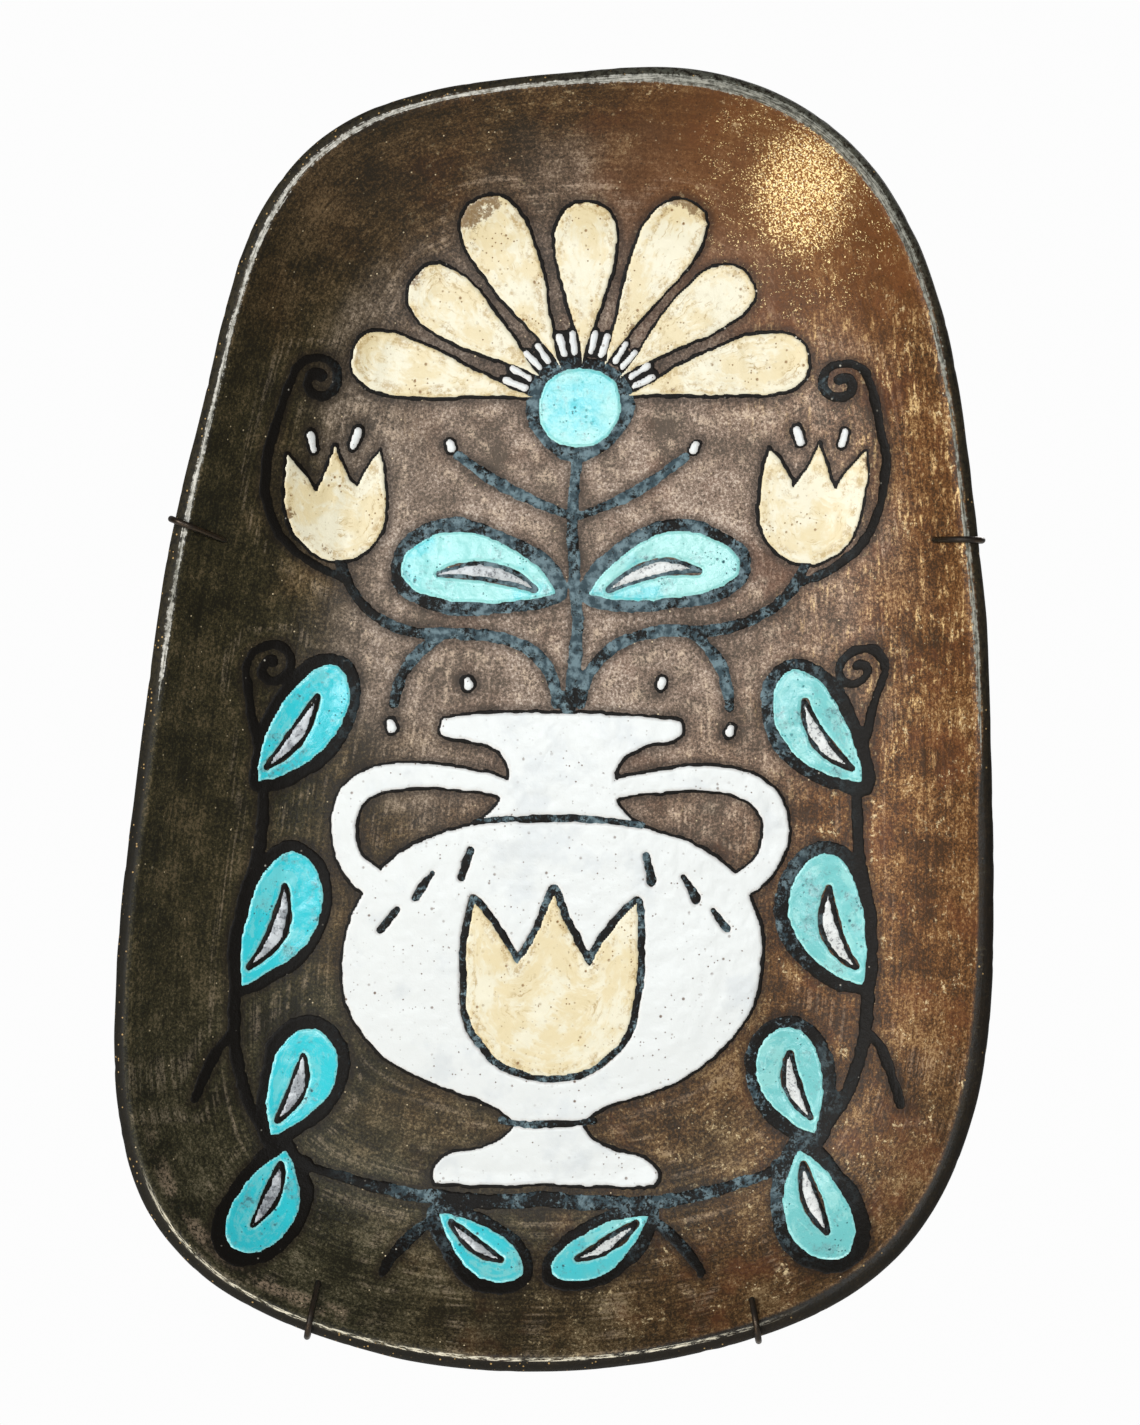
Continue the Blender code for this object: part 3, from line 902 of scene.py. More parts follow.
def sample(field, column, row):
    """The field's value between its places, blended from the four nearest."""
    left = np.clip(np.floor(column).astype(int), 0, field.shape[1] - 2)
    low = np.clip(np.floor(row).astype(int), 0, field.shape[0] - 2)
    right, up = np.clip(column - left, 0, 1), np.clip(row - low, 0, 1)
    lower = field[low, left] * (1 - right) + field[low, left + 1] * right
    upper = field[low + 1, left] * (1 - right) + field[low + 1, left + 1] * right
    return lower * (1 - up) + upper * up


def lay_enamel(name, edge, thickness):
    """A closed mesh of one enamel on the dish."""
    cells, faces, open_edges = cut_cells(edge)
    side = cells[:, 0] * CELL - BOARD_SIDE
    height = cells[:, 1] * CELL - BOARD_HEIGHT
    depth = np.maximum(-sample(edge, cells[:, 0], cells[:, 1]), 0)
    rise = np.sqrt(1 - (1 - np.minimum(depth / SHOULDER, 1)) ** 2)
    swell = 1 + 0.16 * wander(side / (5 * MM) + 99, height / (5 * MM) + 99, 41)
    swell = swell + 0.10 * wander(side / (1.8 * MM) + 99, height / (1.8 * MM) + 99, 42)
    x, z = side + LEAN * height, height + MIDDLE
    ground = np.array([clay_front(*place) for place in zip(x, z)])
    top = ground + SINK - (thickness + SINK) * rise * swell
    count = len(cells)
    points = np.vstack((np.c_[x, top, z], np.c_[x, ground + BASE, z]))
    under = [[point + count for point in reversed(face)] for face in faces]
    walls = [(b, a, a + count, b + count) for a, b in open_edges]
    values = {"from_edge": np.append(depth, depth) / MM}
    return add_mesh("enamel_" + name, points, faces + under + walls, values)


print(f"the middle of the dish is at Y {clay_front(0, MIDDLE) / MM:.1f} mm")

# %% [markdown]
# The clay also learns how far each of its points is from the paint, because the glaze is darker in
# a band round the shapes and dust settles beside them. The values are read off the same fields.

# %% Pools of enamel
def clay_from_paint():
    """Distance in millimetres from each point of the clay to the nearest painted edge."""
    points = np.array([point.co for point in clay.data.vertices])
    height = points[:, 2] - MIDDLE
    column = (points[:, 0] - LEAN * height + BOARD_SIDE) / CELL
    row = (height + BOARD_HEIGHT) / CELL
    edge = np.minimum.reduce([layer for layer, _ in LAYERS.values()])
    return np.clip(sample(edge, column, row) / MM, -2, 9)


clay.data.attributes.new("from_paint", "FLOAT", "POINT").data.foreach_set("value", clay_from_paint())
ENAMELS = {name: lay_enamel(name, *layer) for name, layer in LAYERS.items()}
for piece in ENAMELS.values():
    print(piece.name, len(piece.data.polygons), "faces")

# %% [markdown]
# ## Springs and wires
#
# Springs and wires are both drawn steel, so one sweep makes them all: rings of points along a
# line, turned as little as possible from one to the next, so that the tube never twists. A curve
# with a bevel depth would do that too, but the real wire is nipped off with blunt, slightly
# rounded ends, and here the last rings draw them.

# %% Sweeping a wire along a line
NIPPED_END = ((0.22, 0.88), (0.35, 0.55))  # how far out and how wide, in shares of the radius


def sweep(name, line, radius, sides):
    """A closed tube along a line of points, with blunt rounded ends."""
    neighbours = zip([line[0]] + line, line[1:] + [line[-1]])
    tangents = [(after - before).normalized() for before, after in neighbours]
    normal = tangents[0].orthogonal().normalized()
    rings = []
    for point, tangent in zip(line, tangents):
        normal = (normal - tangent * normal.dot(tangent)).normalized()
        rings.append((point, tangent, normal))
    stations = [(rings[0], -out, share) for out, share in reversed(NIPPED_END)]
    stations += [(spot, 0, 1) for spot in rings]
    stations += [(rings[-1], out, share) for out, share in NIPPED_END]
    points = []
    for (point, tangent, normal), out, share in stations:
        other = tangent.cross(normal)
        for k in range(sides):
            angle = 2 * pi * k / sides
            offset = normal * cos(angle) + other * sin(angle)
            points.append(point + tangent * out * radius + offset * radius * share)
    faces = []
    for ring in range(len(stations) - 1):
        for k in range(sides):
            a, b = ring * sides + k, ring * sides + (k + 1) % sides
            faces.append((a, b, b + sides, a + sides))
    faces.append(list(range(sides))[::-1])
    faces.append(list(range(len(points) - sides, len(points))))
    return add_mesh(name, points, faces)


UPPER_LINE, LOWER_LINE = rounded(upper_stops()), rounded(lower_stops())
print("the wires' lines have", len(UPPER_LINE), "and", len(LOWER_LINE), "points")

# %% [markdown]
# The springs are closely wound from 0.9 mm steel, and each end is bent up into a ring that hangs
# on the wire. A screw modifier could wind one, but its ends would stay cut off. So one line runs
# from the first ring through the coils to the second.

# %% Springs
SPRING_RADIUS = 2.5 * MM
SPRING_WIRE = 0.9 * MM
RING_RADIUS = 2.3 * MM  # end ring, to the middle of its wire
COIL_STEPS = 18
COIL_PITCH = 1.03  # of a turn, in thicknesses of the wire
RING_STEPS = 25
RING_NECK = 1.4 * MM  # between an end ring and the coils


def spring_line(top, bottom):
    """The line of a spring's wire, from its lower ring through the coils to its upper one."""
    slack = RING_RADIUS - SPRING_WIRE / 2 - WIRE / 2 - GAP
    middle, axis = (top + bottom) / 2, (top - bottom).normalized()
    half = (top - bottom).length / 2 - slack
    reach = SPRING_RADIUS - SPRING_WIRE / 2
    coiled = half - RING_RADIUS - RING_NECK
    turns = round(2 * coiled / (SPRING_WIRE * COIL_PITCH))
    upper, coils = [], []
    for k in range(RING_STEPS + 1):
        angle = radians(-60) + radians(300) * k / RING_STEPS
        upper.append((0, RING_RADIUS * cos(angle), half + RING_RADIUS * sin(angle)))
    for k in range(turns * COIL_STEPS + 1):
        share = k / (turns * COIL_STEPS)
        angle = 2 * pi * turns * share
        ease = min(1, 14 * min(share, 1 - share) + 0.35)  # the last turns close in
        coils.append((reach * ease * sin(angle), reach * ease * cos(angle), coiled * (2 * share - 1)))
    lower = [(x, y, -z) for x, y, z in reversed(upper)]
    side = Vector((axis.z, 0, -axis.x))
    return [middle + side * x + Vector((0, y, 0)) + axis * z for x, y, z in lower + coils + upper]


springs = []
for name, ends in zip(("spring_left", "spring_right"), SPRING_ENDS):
    spring = sweep(name + "_coil", spring_line(*ends), SPRING_WIRE / 2, sides=8)
    springs.append(spring)
    print(spring.name, len(spring.data.polygons), "faces")

# %% [markdown]
# The hanger's two wires follow the routes worked out at the start. They are twice as thick as the
# springs' wire and are seen close to at the hooks, so they get twice as many sides.

# %% Wires
upper_wire = sweep("upper_wire", UPPER_LINE, WIRE / 2, sides=16)
lower_wire = sweep("lower_wire", LOWER_LINE, WIRE / 2, sides=16)
print("wires:", len(upper_wire.data.polygons) + len(lower_wire.data.polygons), "faces")

# %% [markdown]
# ## Writing a finish
#
# A finish is a tree of shader nodes. Dragging them in by hand is easy once and tiresome to
# change, so a socket is wrapped in a small class whose + - and * add Math nodes, and one method
# adds any other node from its type, its settings and what goes into its sockets.

# %% Shader helpers
def screen(red, green, blue):
    """A colour given as on a screen, 0 to 255, turned into the linear one that shaders take."""
    shares = [value / 255 for value in (red, green, blue)]
    linear = [share / 12.92 if share < 0.04045 else ((share + 0.055) / 1.055) ** 2.4 for share in shares]
    return (*linear, 1)


class Socket:
    """An output of a node; Python's operators on it add Math nodes."""

    def __init__(self, nodes, output):
        self.nodes, self.output = nodes, output

    def maths(self, operation, *values):
        return self.nodes.node("ShaderNodeMath", {"operation": operation}, dict(enumerate(values)))

    def __add__(self, other):
        return self.maths("ADD", self, other)

    def __mul__(self, other):
        return self.maths("MULTIPLY", self, other)

    def __sub__(self, other):
        return self.maths("SUBTRACT", self, other)

    def __rsub__(self, other):
        return self.maths("SUBTRACT", other, self)

    __radd__, __rmul__ = __add__, __mul__

    def size(self):
        return self.maths("ABSOLUTE", self)

    def between(self, low, high, start=0.0, end=1.0):
        """Rises smoothly from start to end as this goes from low to high."""
        settings = {"interpolation_type": "SMOOTHSTEP"}
        sockets = {"Value": self, "From Min": low, "From Max": high, "To Min": start, "To Max": end}
        return self.nodes.node("ShaderNodeMapRange", settings, sockets)


class Nodes:
    """A node tree and the one method that adds to it."""

    def __init__(self, tree):
        self.tree = tree

    def node(self, kind, settings=None, sockets=None, output=0):
        """Add a node: its settings first, then its sockets' values or links."""
        made = self.tree.nodes.new(kind)
        for setting, value in (settings or {}).items():
            setattr(made, setting, value)
        for socket, value in (sockets or {}).items():
            self.plug(value, made.inputs[socket])
        return Socket(self, made.outputs[output])

    def plug(self, value, socket):
        """Give a socket a value, or link it."""
        if isinstance(value, Socket):
            self.tree.links.new(value.output, socket)
        else:
            socket.default_value = value


print(f"a screen's middle grey is {screen(128, 128, 128)[0]:.3f} in linear light")

# %% [markdown]
# A potter's surface is made of marks: clouds, streaks of the brush, specks. Each is a mask, worked
# out from where a point is and from the values that its mesh holds, such as how far it is from the
# lip's crest. Noise in three dimensions needs no unwrapping, and stretching its coordinates turns
# grit into brush marks.

# %% Marks
class Marks(Nodes):
    """Masks over a piece, read from each point's place and from the values that its mesh holds."""

    def __init__(self, tree):
        super().__init__(tree)
        self.place = self.node("ShaderNodeTexCoord", output="Object")
        split = [self.node("ShaderNodeSeparateXYZ", {}, {0: self.place}, output=k) for k in range(3)]
        self.x, self.y, self.z = split

    def value(self, name):
        """A value that the mesh holds at each point."""
        return self.node("ShaderNodeAttribute", {"attribute_name": name}, output="Fac")

    def noise(self, scale, detail=3, rough=0.5, where=None):
        """Noise around 0.5, with so many features to a metre."""
        sockets = {"Vector": where or self.place, "Scale": scale, "Detail": detail, "Roughness": rough}
        return self.node("ShaderNodeTexNoise", {"noise_dimensions": "3D"}, sockets)

    def streaks(self, x, y, z, detail=4, rough=0.7):
        """Noise over coordinates of its own, each stretched as it likes."""
        return self.noise(1, detail, rough, self.node("ShaderNodeCombineXYZ", {}, {0: x, 1: y, 2: z}))

    def specks(self, scale, share, seed=0.0):
        """1 in small round specks, so many cells to a metre, in a share of the cells."""
        shift = {0: self.place, 1: (seed, seed, seed)}
        cell = {"Vector": self.node("ShaderNodeVectorMath", {"operation": "ADD"}, shift), "Scale": scale}
        near = self.node("ShaderNodeTexVoronoi", {}, cell, output="Distance")
        colour = self.node("ShaderNodeTexVoronoi", {}, cell, output="Color")
        pick = self.node("ShaderNodeSeparateColor", {}, {0: colour})
        return near.between(0.34, 0.16) * pick.between(1 - share, 1 - share + 0.02)

    def spot(self, x, z, across, up):
        """Square of the distance from a spot, counted in so many steps to a metre each way."""
        along_x, along_z = (self.x - x) * across, (self.z - z) * up
        return along_x * along_x + along_z * along_z

    def window(self, x, z, across, up):
        """1 in a soft rectangle round a spot: where it has faded, and where it is whole, each way."""
        return (self.x - x).size().between(*across) * (self.z - z).size().between(*up)


print("a piece can be marked by", ", ".join(name for name in vars(Marks) if not name.startswith("_")))

# %% [markdown]
# A finish is a material that keeps its colour so far, so that each mark on it is one line: a mask,
# and the colour that it lays over the rest. It is glaze or metal by its numbers alone, and goes on
# its pieces when it is whole.

# %% Finish
class Finish(Marks):
    """A material, and its colour so far."""

    def __init__(self, name, gloss_level=0.5):
        self.material = bpy.data.materials.new(name)
        self.material.use_nodes = True
        super().__init__(self.material.node_tree)
        self.shader = self.tree.nodes["Principled BSDF"]
        self.plug(gloss_level, self.shader.inputs["Specular IOR Level"])
        self.colour = None

    def mix(self, mask, low, high):
        """A blend of two colours, each a socket or given as on a screen."""
        low, high = [tint if isinstance(tint, Socket) else screen(*tint) for tint in (low, high)]
        return self.node("ShaderNodeMix", {"data_type": "RGBA"}, {0: mask, 6: low, 7: high}, output=2)

    def stain(self, mask, tint):
        """Lay one more colour over the finish, where a mask is above 0."""
        self.colour = self.mix(mask, self.colour, tint)

    def pit(self, share, tint):
        """Lay small dark pits in clusters over the finish, and give the mask of them."""
        clusters = self.noise(90, 3).between(0.46, 0.60)
        pits = (self.specks(620, share) + self.specks(1150, share * 1.3, 5.0)) * (clusters * 0.8 + 0.2)
        self.stain(pits, tint)
        return pits

    def tell(self, step):
        """Print how many nodes the finish has after a step."""
        print(f"{self.material.name}, {step}: {len(self.tree.nodes)} nodes")

    def wear(self, pieces, roughness, height=None, depth=0.1 * MM, metal=0.0):
        """Plug the finish into its shader, with its fine relief in metres, and give it to pieces."""
        self.plug(self.colour, self.shader.inputs["Base Color"])
        self.plug(roughness, self.shader.inputs["Roughness"])
        self.plug(metal, self.shader.inputs["Metallic"])
        if height is not None:
            bump = self.node("ShaderNodeBump", {}, {"Distance": depth, "Height": height})
            self.plug(bump, self.shader.inputs["Normal"])
        for piece in pieces:
            piece.data.materials.append(self.material)
        self.tell("whole")


print("a finish can", ", ".join(name for name in vars(Finish) if not name.startswith("_")))

# %% [markdown]
# ## The brown glaze
#
# The ground is an iron-brown glaze brushed on thin. It is olive and nearly black at the left,
# which is partly painted shade on the wall that faces away from the light, and breaks to warm
# copper at the right, where the metal came up and painted warm light falls on the wall. Over the
# middle it is greyed by dust and by a painted sheen of the window. So it is made of zones, each a
# mask from the point's place with a cloudy edge. A painted picture of the plate would be simpler,
# but would show nothing up close.

# %% Zones of the glaze
ground = Finish("brushed_brown_glaze", gloss_level=0.2)
cloudy = ground.noise(24, 4, 0.6) - 0.5
# copper at the right is partly the glaze's colour and partly painted light; the dark left is partly painted
# shade
copper_and_light = (ground.x + cloudy * 0.14).between(-0.085, 0.080)
# grey over the middle: dust, and a painted sheen of the window
dusted = (ground.spot(0.010, -0.058, 14, 11) + cloudy * 2.0).between(1.7, 0.2)
top = (ground.z + cloudy * 0.08).between(-0.03, 0.05)
bottom = (ground.z + cloudy * 0.08).between(-0.15, -0.26)
ground.tell("zones")

# %% [markdown]
# Close to, the glaze is grit of lighter and darker grains, drawn out by the brush round the wall
# and by scratches that run upright. The marks are added up into one tone, from 0, dark, to 1,
# light. Over the middle, where the dust and the painted sheen lie, the brush shows less, because
# the dust has filled its marks.

# %% Tone
crest, paint = ground.value("from_crest"), ground.value("from_paint")
drift, blots = ground.noise(26, 5, 0.6), ground.noise(120, 5, 0.7)
grit, grain = ground.noise(1150, 3, 0.8), ground.noise(1700, 2, 0.8)
brushed = ground.streaks(crest * 0.9, ground.x * 22, ground.z * 22, 3, 0.6)
upright = ground.streaks(ground.x * 900, ground.y * 60, ground.z * 130)
tone = (blots - 0.5) * 1.5 + (brushed - 0.5) * (0.9 - dusted * 0.6) + 0.36
tone = tone + (grit - 0.5) * 2.6 + (grain - 0.5) * 1.2
tone = tone + (upright - 0.5) * copper_and_light * (1 - dusted * 0.8) * 0.9 + (ground.noise(65) - 0.5) * 1.2
ground.tell("tone")

# %% [markdown]
# Each zone has a dark, an even and a light colour. The zones are blended once for each of the
# three, and the tone then picks between the blends, so that a light grain is tan in the copper
# and ash in the middle's dust and painted sheen. A faint rust red runs through the copper in clouds.

# %% Colours of the glaze
GLAZE_TONES = {  # dark, even and light
    "left": ((25, 22, 10), (51, 46, 26), (92, 79, 57)),
    "right": ((56, 36, 17), (102, 65, 32), (160, 126, 84)),
    "top": ((33, 24, 11), (61, 41, 20), (99, 76, 50)),
    "bottom": ((26, 24, 13), (54, 51, 34), (98, 91, 72)),
    "dusted": ((86, 74, 62), (136, 117, 103), (196, 181, 167)),
}
blends = []
for left, right, upper, lower, dust in zip(*GLAZE_TONES.values()):
    ground.colour = ground.mix(copper_and_light, left, right)
    ground.stain(top * 0.6, upper)
    ground.stain(bottom * (1 - copper_and_light * 0.5) * 0.9, lower)
    ground.stain(dusted * 0.85, dust)
    blends.append(ground.colour)
dark, even, light = blends
ground.colour = ground.mix(tone.between(0.45, 1.0), ground.mix(tone.between(0.0, 0.5), dark, even), light)
ground.stain(ground.noise(52, 4, 0.65).between(0.50, 0.66) * copper_and_light * 0.3, (106, 58, 32))
print(len(GLAZE_TONES), "zones, each in", len(blends), "tones")

# %% [markdown]
# Over that lie the marks of age and a few painted glints. Upright scratches show in the copper,
# with small glints painted in as pale highlights; pale dust sits in a band round each painted
# shape, where a cloth can't reach, and in the brush marks low down at the left. The distance from
# the paint and from the lip's crest place them.

# %% Scratches and dust
scratched = upright.between(0.53, 0.62) * blots.between(0.44, 0.58) * copper_and_light * (1 - dusted)
scratched = scratched * (ground.z + 0.05).size().between(0.10, 0.03)
ground.stain(scratched * grit.between(0.40, 0.55) * 0.9, (226, 192, 136))
rubbing = brushed * (0.8 - dusted * 0.6) + ground.noise(230, 5, 0.7) * (0.2 + dusted * 0.6)
scuffed = (paint - 4.2).size().between(2.2, 0.3) * rubbing.between(0.47, 0.60)
ground.stain(scuffed * grit.between(0.38, 0.56) * (dusted * 0.45 + 0.15), (206, 184, 160))
# painted highlights: small pale glints in the copper
glints = ground.noise(620, 3, 0.75).between(0.56, 0.66) * blots.between(0.50, 0.62)
ground.stain(glints * copper_and_light * (1 - dusted) * 0.75, (222, 200, 156))
corner = ground.spot(-0.092, -0.252, 24, 24).between(1.3, 0.3)
settled = (crest - 8.5).size().between(3.6, 1.0) * blots.between(0.42, 0.56) * grit.between(0.38, 0.60)
ground.stain(settled * corner * 0.75, (144, 124, 104))
ground.tell("scratches and dust")

# %% [markdown]
# At the top right the copper floated up as a patch of gold grains, and a lamp's sparkle on it is
# painted in as bright gold grains in an orange glow. It is a mask that falls off from one spot: a
# solid bed at its core, loose flakes round it, and round grains in two sizes on top. Its brightness
# is a painted highlight in its colour, so it stays in its place from every side.

# %% Gold and its painted sparkle
across, up = (ground.x - 0.067) * 110, (ground.z - 0.043) * 92
spread = across * across + up * up + (blots - 0.5) * 4
# painted highlight: the orange glow and bright grains of a lamp's sparkle on the copper
ground.stain((across * across * 0.06 + up * up * 0.14).between(3.6, 0.0) * 0.5, (116, 69, 30))
gold_sparkle_core = spread.between(4.2, -0.6)
ground.stain(gold_sparkle_core * gold_sparkle_core * 0.85, ground.mix(grain.between(0.42, 0.54), (120, 70, 28), (206, 150, 82)))
loose = spread.between(16, 0.5) * ground.noise(300, 4).between(0.44, 0.56)
flakes_and_sparkle = (grain + gold_sparkle_core * 0.11).between(0.60, 0.67) * (gold_sparkle_core + loose).between(0.05, 0.5)
ground.stain(flakes_and_sparkle, (255, 230, 168))
ground.stain(ground.specks(620, 0.35, 4.0) * gold_sparkle_core * 0.8, (128, 76, 30))
ground.stain(ground.specks(1150, 0.6, 9.0) * gold_sparkle_core * gold_sparkle_core, (255, 248, 214))
ground.tell("gold")

# %% [markdown]
# Bubbles that burst in the kiln left dark pits, and a few crystals glitter, painted as pale glints.
# Round every shape the glaze is darker in a narrow band. Pits and crystals are cells of Voronoi
# noise, of which only a share is picked.

# %% Pits, dark bands and crystal glints
ground.stain(ground.specks(1000, 0.22, 7.0) * 0.55, (16, 12, 7))
# darker band round every shape
ground.stain(paint.between(2.2, 0.2) * 0.55, (26, 18, 11))
# crystals, with painted glints on them
crystal_glints = ground.specks(640, 0.006) + ground.specks(1200, 0.018, 3.0)
ground.stain(crystal_glints * 0.85, (228, 208, 170))
ground.tell("pits and crystals")

# %% [markdown]
# The lip's outer edge is nearly black, darker still low down. It has gilt specks towards the left
# and a grey bloom at the upper right. How far it reaches down the painted side is compared with
# the distance from the crest, and it reaches further low down than at the top.

# %% Dark edge of the lip
long = ground.streaks(crest * 2.2, ground.x * 60, ground.z * 60)
short = ground.streaks(crest * 2.6, ground.x * 330, ground.z * 330)
chipped = ground.noise(700, 4, 0.75)
rightwards = ground.x.between(-0.02, 0.05)
upper_right = ground.z.between(-0.01, 0.06) * rightwards
edging = ground.mix(chipped.between(0.35, 0.60), (12, 11, 6), (42, 37, 23))
# darker towards the bottom
edging = ground.mix(ground.z.between(-0.08, -0.14) * 0.85, edging, (12, 10, 5))
gilt = ground.specks(1000, 0.12, 11.0) * rightwards.between(1, 0) + ground.specks(1000, 0.03, 13.0)
edging = ground.mix(gilt * crest.between(-8, -1) * 0.85, edging, (186, 152, 98))
edging = ground.mix(upper_right * chipped.between(0.40, 0.58) * 0.7, edging, (86, 89, 80))
upness = ground.z + rightwards * 0.015
dark_edge_reach = upness.between(-0.12, -0.09) * 2 + upness.between(-0.09, -0.12) * (rightwards * 1.8 + 2.4)
ground.stain((dark_edge_reach - crest).between(-0.5, 0.6) * 0.96, edging)
ground.tell("dark edge")

# %% [markdown]
# Just inside it the lip is rubbed to streaky grey clay, and the pale band is also a painted
# highlight where the rounded lip catches the light. The band is widest at the top and stops half
# way down; at the very bottom only a thin broken line is left, which is a painted highlight. Long
# and short streaks and chips wear its edges, so that it looks rubbed by cloths and not drawn.

# %% Rubbed lip and its painted highlight
# the pale band along the crest: worn clay and a painted highlight, widest at the top
pale_reach = upness.between(-0.125, -0.085, -1.5, 0.7) + upper_right * 0.7
worn_and_lit = (pale_reach - (crest - 2.6).size() + (long - 0.5) * 2 + (chipped - 0.5) * 2).between(-0.05, 0.3)
streaky = (long * 0.35 + short * 0.35 + chipped * 0.3).between(0.43, 0.59)
worn_lit_clay = ground.mix(rightwards, (114, 113, 104), (54, 55, 48))
pale_streak = ground.mix(rightwards, (208, 205, 196), (156, 155, 144))
ground.stain(worn_and_lit * 0.95, ground.mix(streaky, worn_lit_clay, pale_streak))
# painted highlight: a thin broken line along the bottom of the lip
line = (crest - 2.7).size().between(0.6, 0.3) * short.between(0.46, 0.56) * ground.z.between(-0.225, -0.245)
ground.stain(line * ground.x.between(0.07, 0.03) * 0.9, (220, 212, 190))
ground.tell("rubbed lip")

# %% [markdown]
# The back was wiped before firing, so the glaze ends there in a wavy line, the rest is bare brown
# clay, and the foot ring is paler where it rubs on the wall. The mask is the distance from the
# crest again, which runs below zero behind it.

# %% Bare back
bare = (crest + (drift - 0.5) * 26).between(-27, -30)
biscuit = ground.mix(ground.noise(160, 5).between(0.3, 0.7), (82, 60, 44), (118, 90, 68))
biscuit = ground.mix(ground.noise(900, 3, 0.7).between(0.4, 0.62) * 0.6, biscuit, (58, 42, 31))
biscuit = ground.mix(ground.value("foot") * 0.6, biscuit, (158, 128, 100))
ground.stain(bare, biscuit)
ground.tell("bare back")

# %% [markdown]
# Last come the gloss and the fine relief. The glaze is satin, duller on bare clay and on the
# outside, and a little metallic where the copper came up. The marks that coloured it also raise
# it, so that light and colour agree.

# %% Gloss and relief
outside = crest.between(2.4, 1.2)
roughness = grit * 0.3 + blots * 0.2 + bare * 0.4 + worn_and_lit * 0.25 + outside * 0.3 + 0.14
metal = copper_and_light * tone.between(0.2, 0.9) * 0.3 * (1 - bare) * (1 - outside)
height = brushed * 0.4 + upright * copper_and_light * 0.2 + grit * 0.5 + grain * 0.2
ground.wear([clay], roughness, height, 0.30 * MM, metal)

# %% [markdown]
# ## Enamels
#
# The enamels are glass made opaque with tin. Turquoise is deepest at the left and clouds to a
# paler, greyer blue at the right, which is painted light, and a painted sheen of the window pales
# it over the middle. It is smeared with milky strokes and smudged with dark grains. The brush
# marks follow the distance from the pool's edge, which the meshes hold, because a pool is filled
# from its outline inwards.

# %% Turquoise
def turquoise_enamel():
    glass = Finish("turquoise_enamel")
    edge, clouds, grains = glass.value("from_edge"), glass.noise(55, 4, 0.6), glass.noise(900, 3, 0.7)
    strokes = glass.streaks(edge * 0.8 + clouds * 7, glass.x * 90, glass.z * 90)
    # paler and greyer to the right: painted light
    paler_where_lit = (glass.x + (clouds - 0.5) * 0.12).between(-0.05, 0.06)
    glass.colour = glass.mix(paler_where_lit, (40, 186, 198), (104, 182, 182))
    # paler over the middle: a painted sheen of the window
    window_sheen = glass.window(0, -0.058, (0.062, 0.036), (0.065, 0.035)) * clouds.between(0.34, 0.52)
    glass.stain(window_sheen * 0.75, (146, 203, 196))
    smeared = (glass.noise(110, 6, 0.75) + (strokes - 0.5) * 0.6).between(0.49, 0.60)
    glass.stain(smeared * (paler_where_lit * 0.3 + 0.32), (144, 204, 200))
    smudged = glass.noise(120, 6, 0.75).between(0.53, 0.64)
    glass.stain(smudged * 0.45, (112, 150, 152))
    glass.stain(smudged * grains.between(0.50, 0.60) * 0.7, (58, 92, 98))
    glass.stain((edge + (grains - 0.5) * 2).between(0.9, 0.2) * 0.55, (164, 226, 224))
    pits = glass.pit(0.10, (32, 84, 92))
    glass.wear([ENAMELS["turquoise"]], grains * 0.2 + 0.14, grains * 0.5 - pits * 0.7, 0.15 * MM)


turquoise_enamel()

# %% [markdown]
# The slivers in the leaves are a thin, cold lilac grey that turns nearly white to the right. The
# black below shows through it in grains, which is quicker to lay as colour than as real glass.

# %% Lilac
def lilac_enamel():
    glass = Finish("lilac_enamel")
    clouds, grains = glass.noise(150, 4, 0.7), glass.noise(900, 3, 0.7)
    glass.colour = glass.mix(clouds.between(0.42, 0.58), (192, 197, 201), (140, 145, 150))
    glass.stain(glass.x.between(-0.045, 0.015) * 0.65, (216, 218, 214))
    glass.stain(grains.between(0.52, 0.62) * clouds.between(0.40, 0.55) * 0.8, (74, 76, 82))
    glass.wear([ENAMELS["sliver"]], grains * 0.2 + 0.2, grains, 0.15 * MM)


lilac_enamel()

# %% [markdown]
# Cream is white enamel with a little iron. It has broken ochre streaks just inside its edges, where
# it pooled, more of them along the brush, and brown scorching on the petals' tips, which stood
# nearest to the fire. A mask of the distance from the fan's foot finds the tips.

# %% Cream
def cream_enamel():
    glass = Finish("cream_enamel")
    edge, clouds, grains = glass.value("from_edge"), glass.noise(85, 4, 0.65), glass.noise(800, 4, 0.75)
    strokes = glass.streaks(edge * 0.8 + clouds * 7, glass.x * 90, glass.z * 90)
    streaked = (clouds * 0.7 + strokes * 0.3).between(0.44, 0.56)
    glass.colour = glass.mix(streaked, (217, 211, 187), (210, 195, 155))
    broken = glass.noise(210, 6, 0.75).between(0.48, 0.56)
    pooled = (edge - 1.8 + (clouds - 0.5) * 6).size().between(2.0, 0.4) * broken
    glass.stain(pooled * (grains.between(0.40, 0.56) * 0.6 + 0.12), (166, 138, 84))
    swept = strokes.between(0.55, 0.62) * glass.noise(60).between(0.45, 0.60) * grains.between(0.38, 0.54)
    glass.stain(swept * 0.7, (160, 132, 80))
    tips = glass.spot(0.004, -0.016, 1, 1).between(0.0024, 0.0044) * glass.z.between(0.0, 0.02)
    scorched = (glass.noise(75, 6, 0.75) + tips * 0.19 - edge * 0.012).between(0.60, 0.64)
    glass.stain(scorched * (grains.between(0.30, 0.52) * 0.4 + 0.5), (112, 84, 44))
    pits = glass.pit(0.14, (128, 94, 46))
    glass.wear([ENAMELS["cream"]], grains * 0.2 + 0.24, grains * 0.5 - pits * 0.6, 0.15 * MM)


cream_enamel()

# %% [markdown]
# White covers the urn, and is clean but for faint clouds, a warmer rim where the brown below shows
# at the thin edge, and a few brown pits. It is the smoothest of the enamels, so its relief is low.

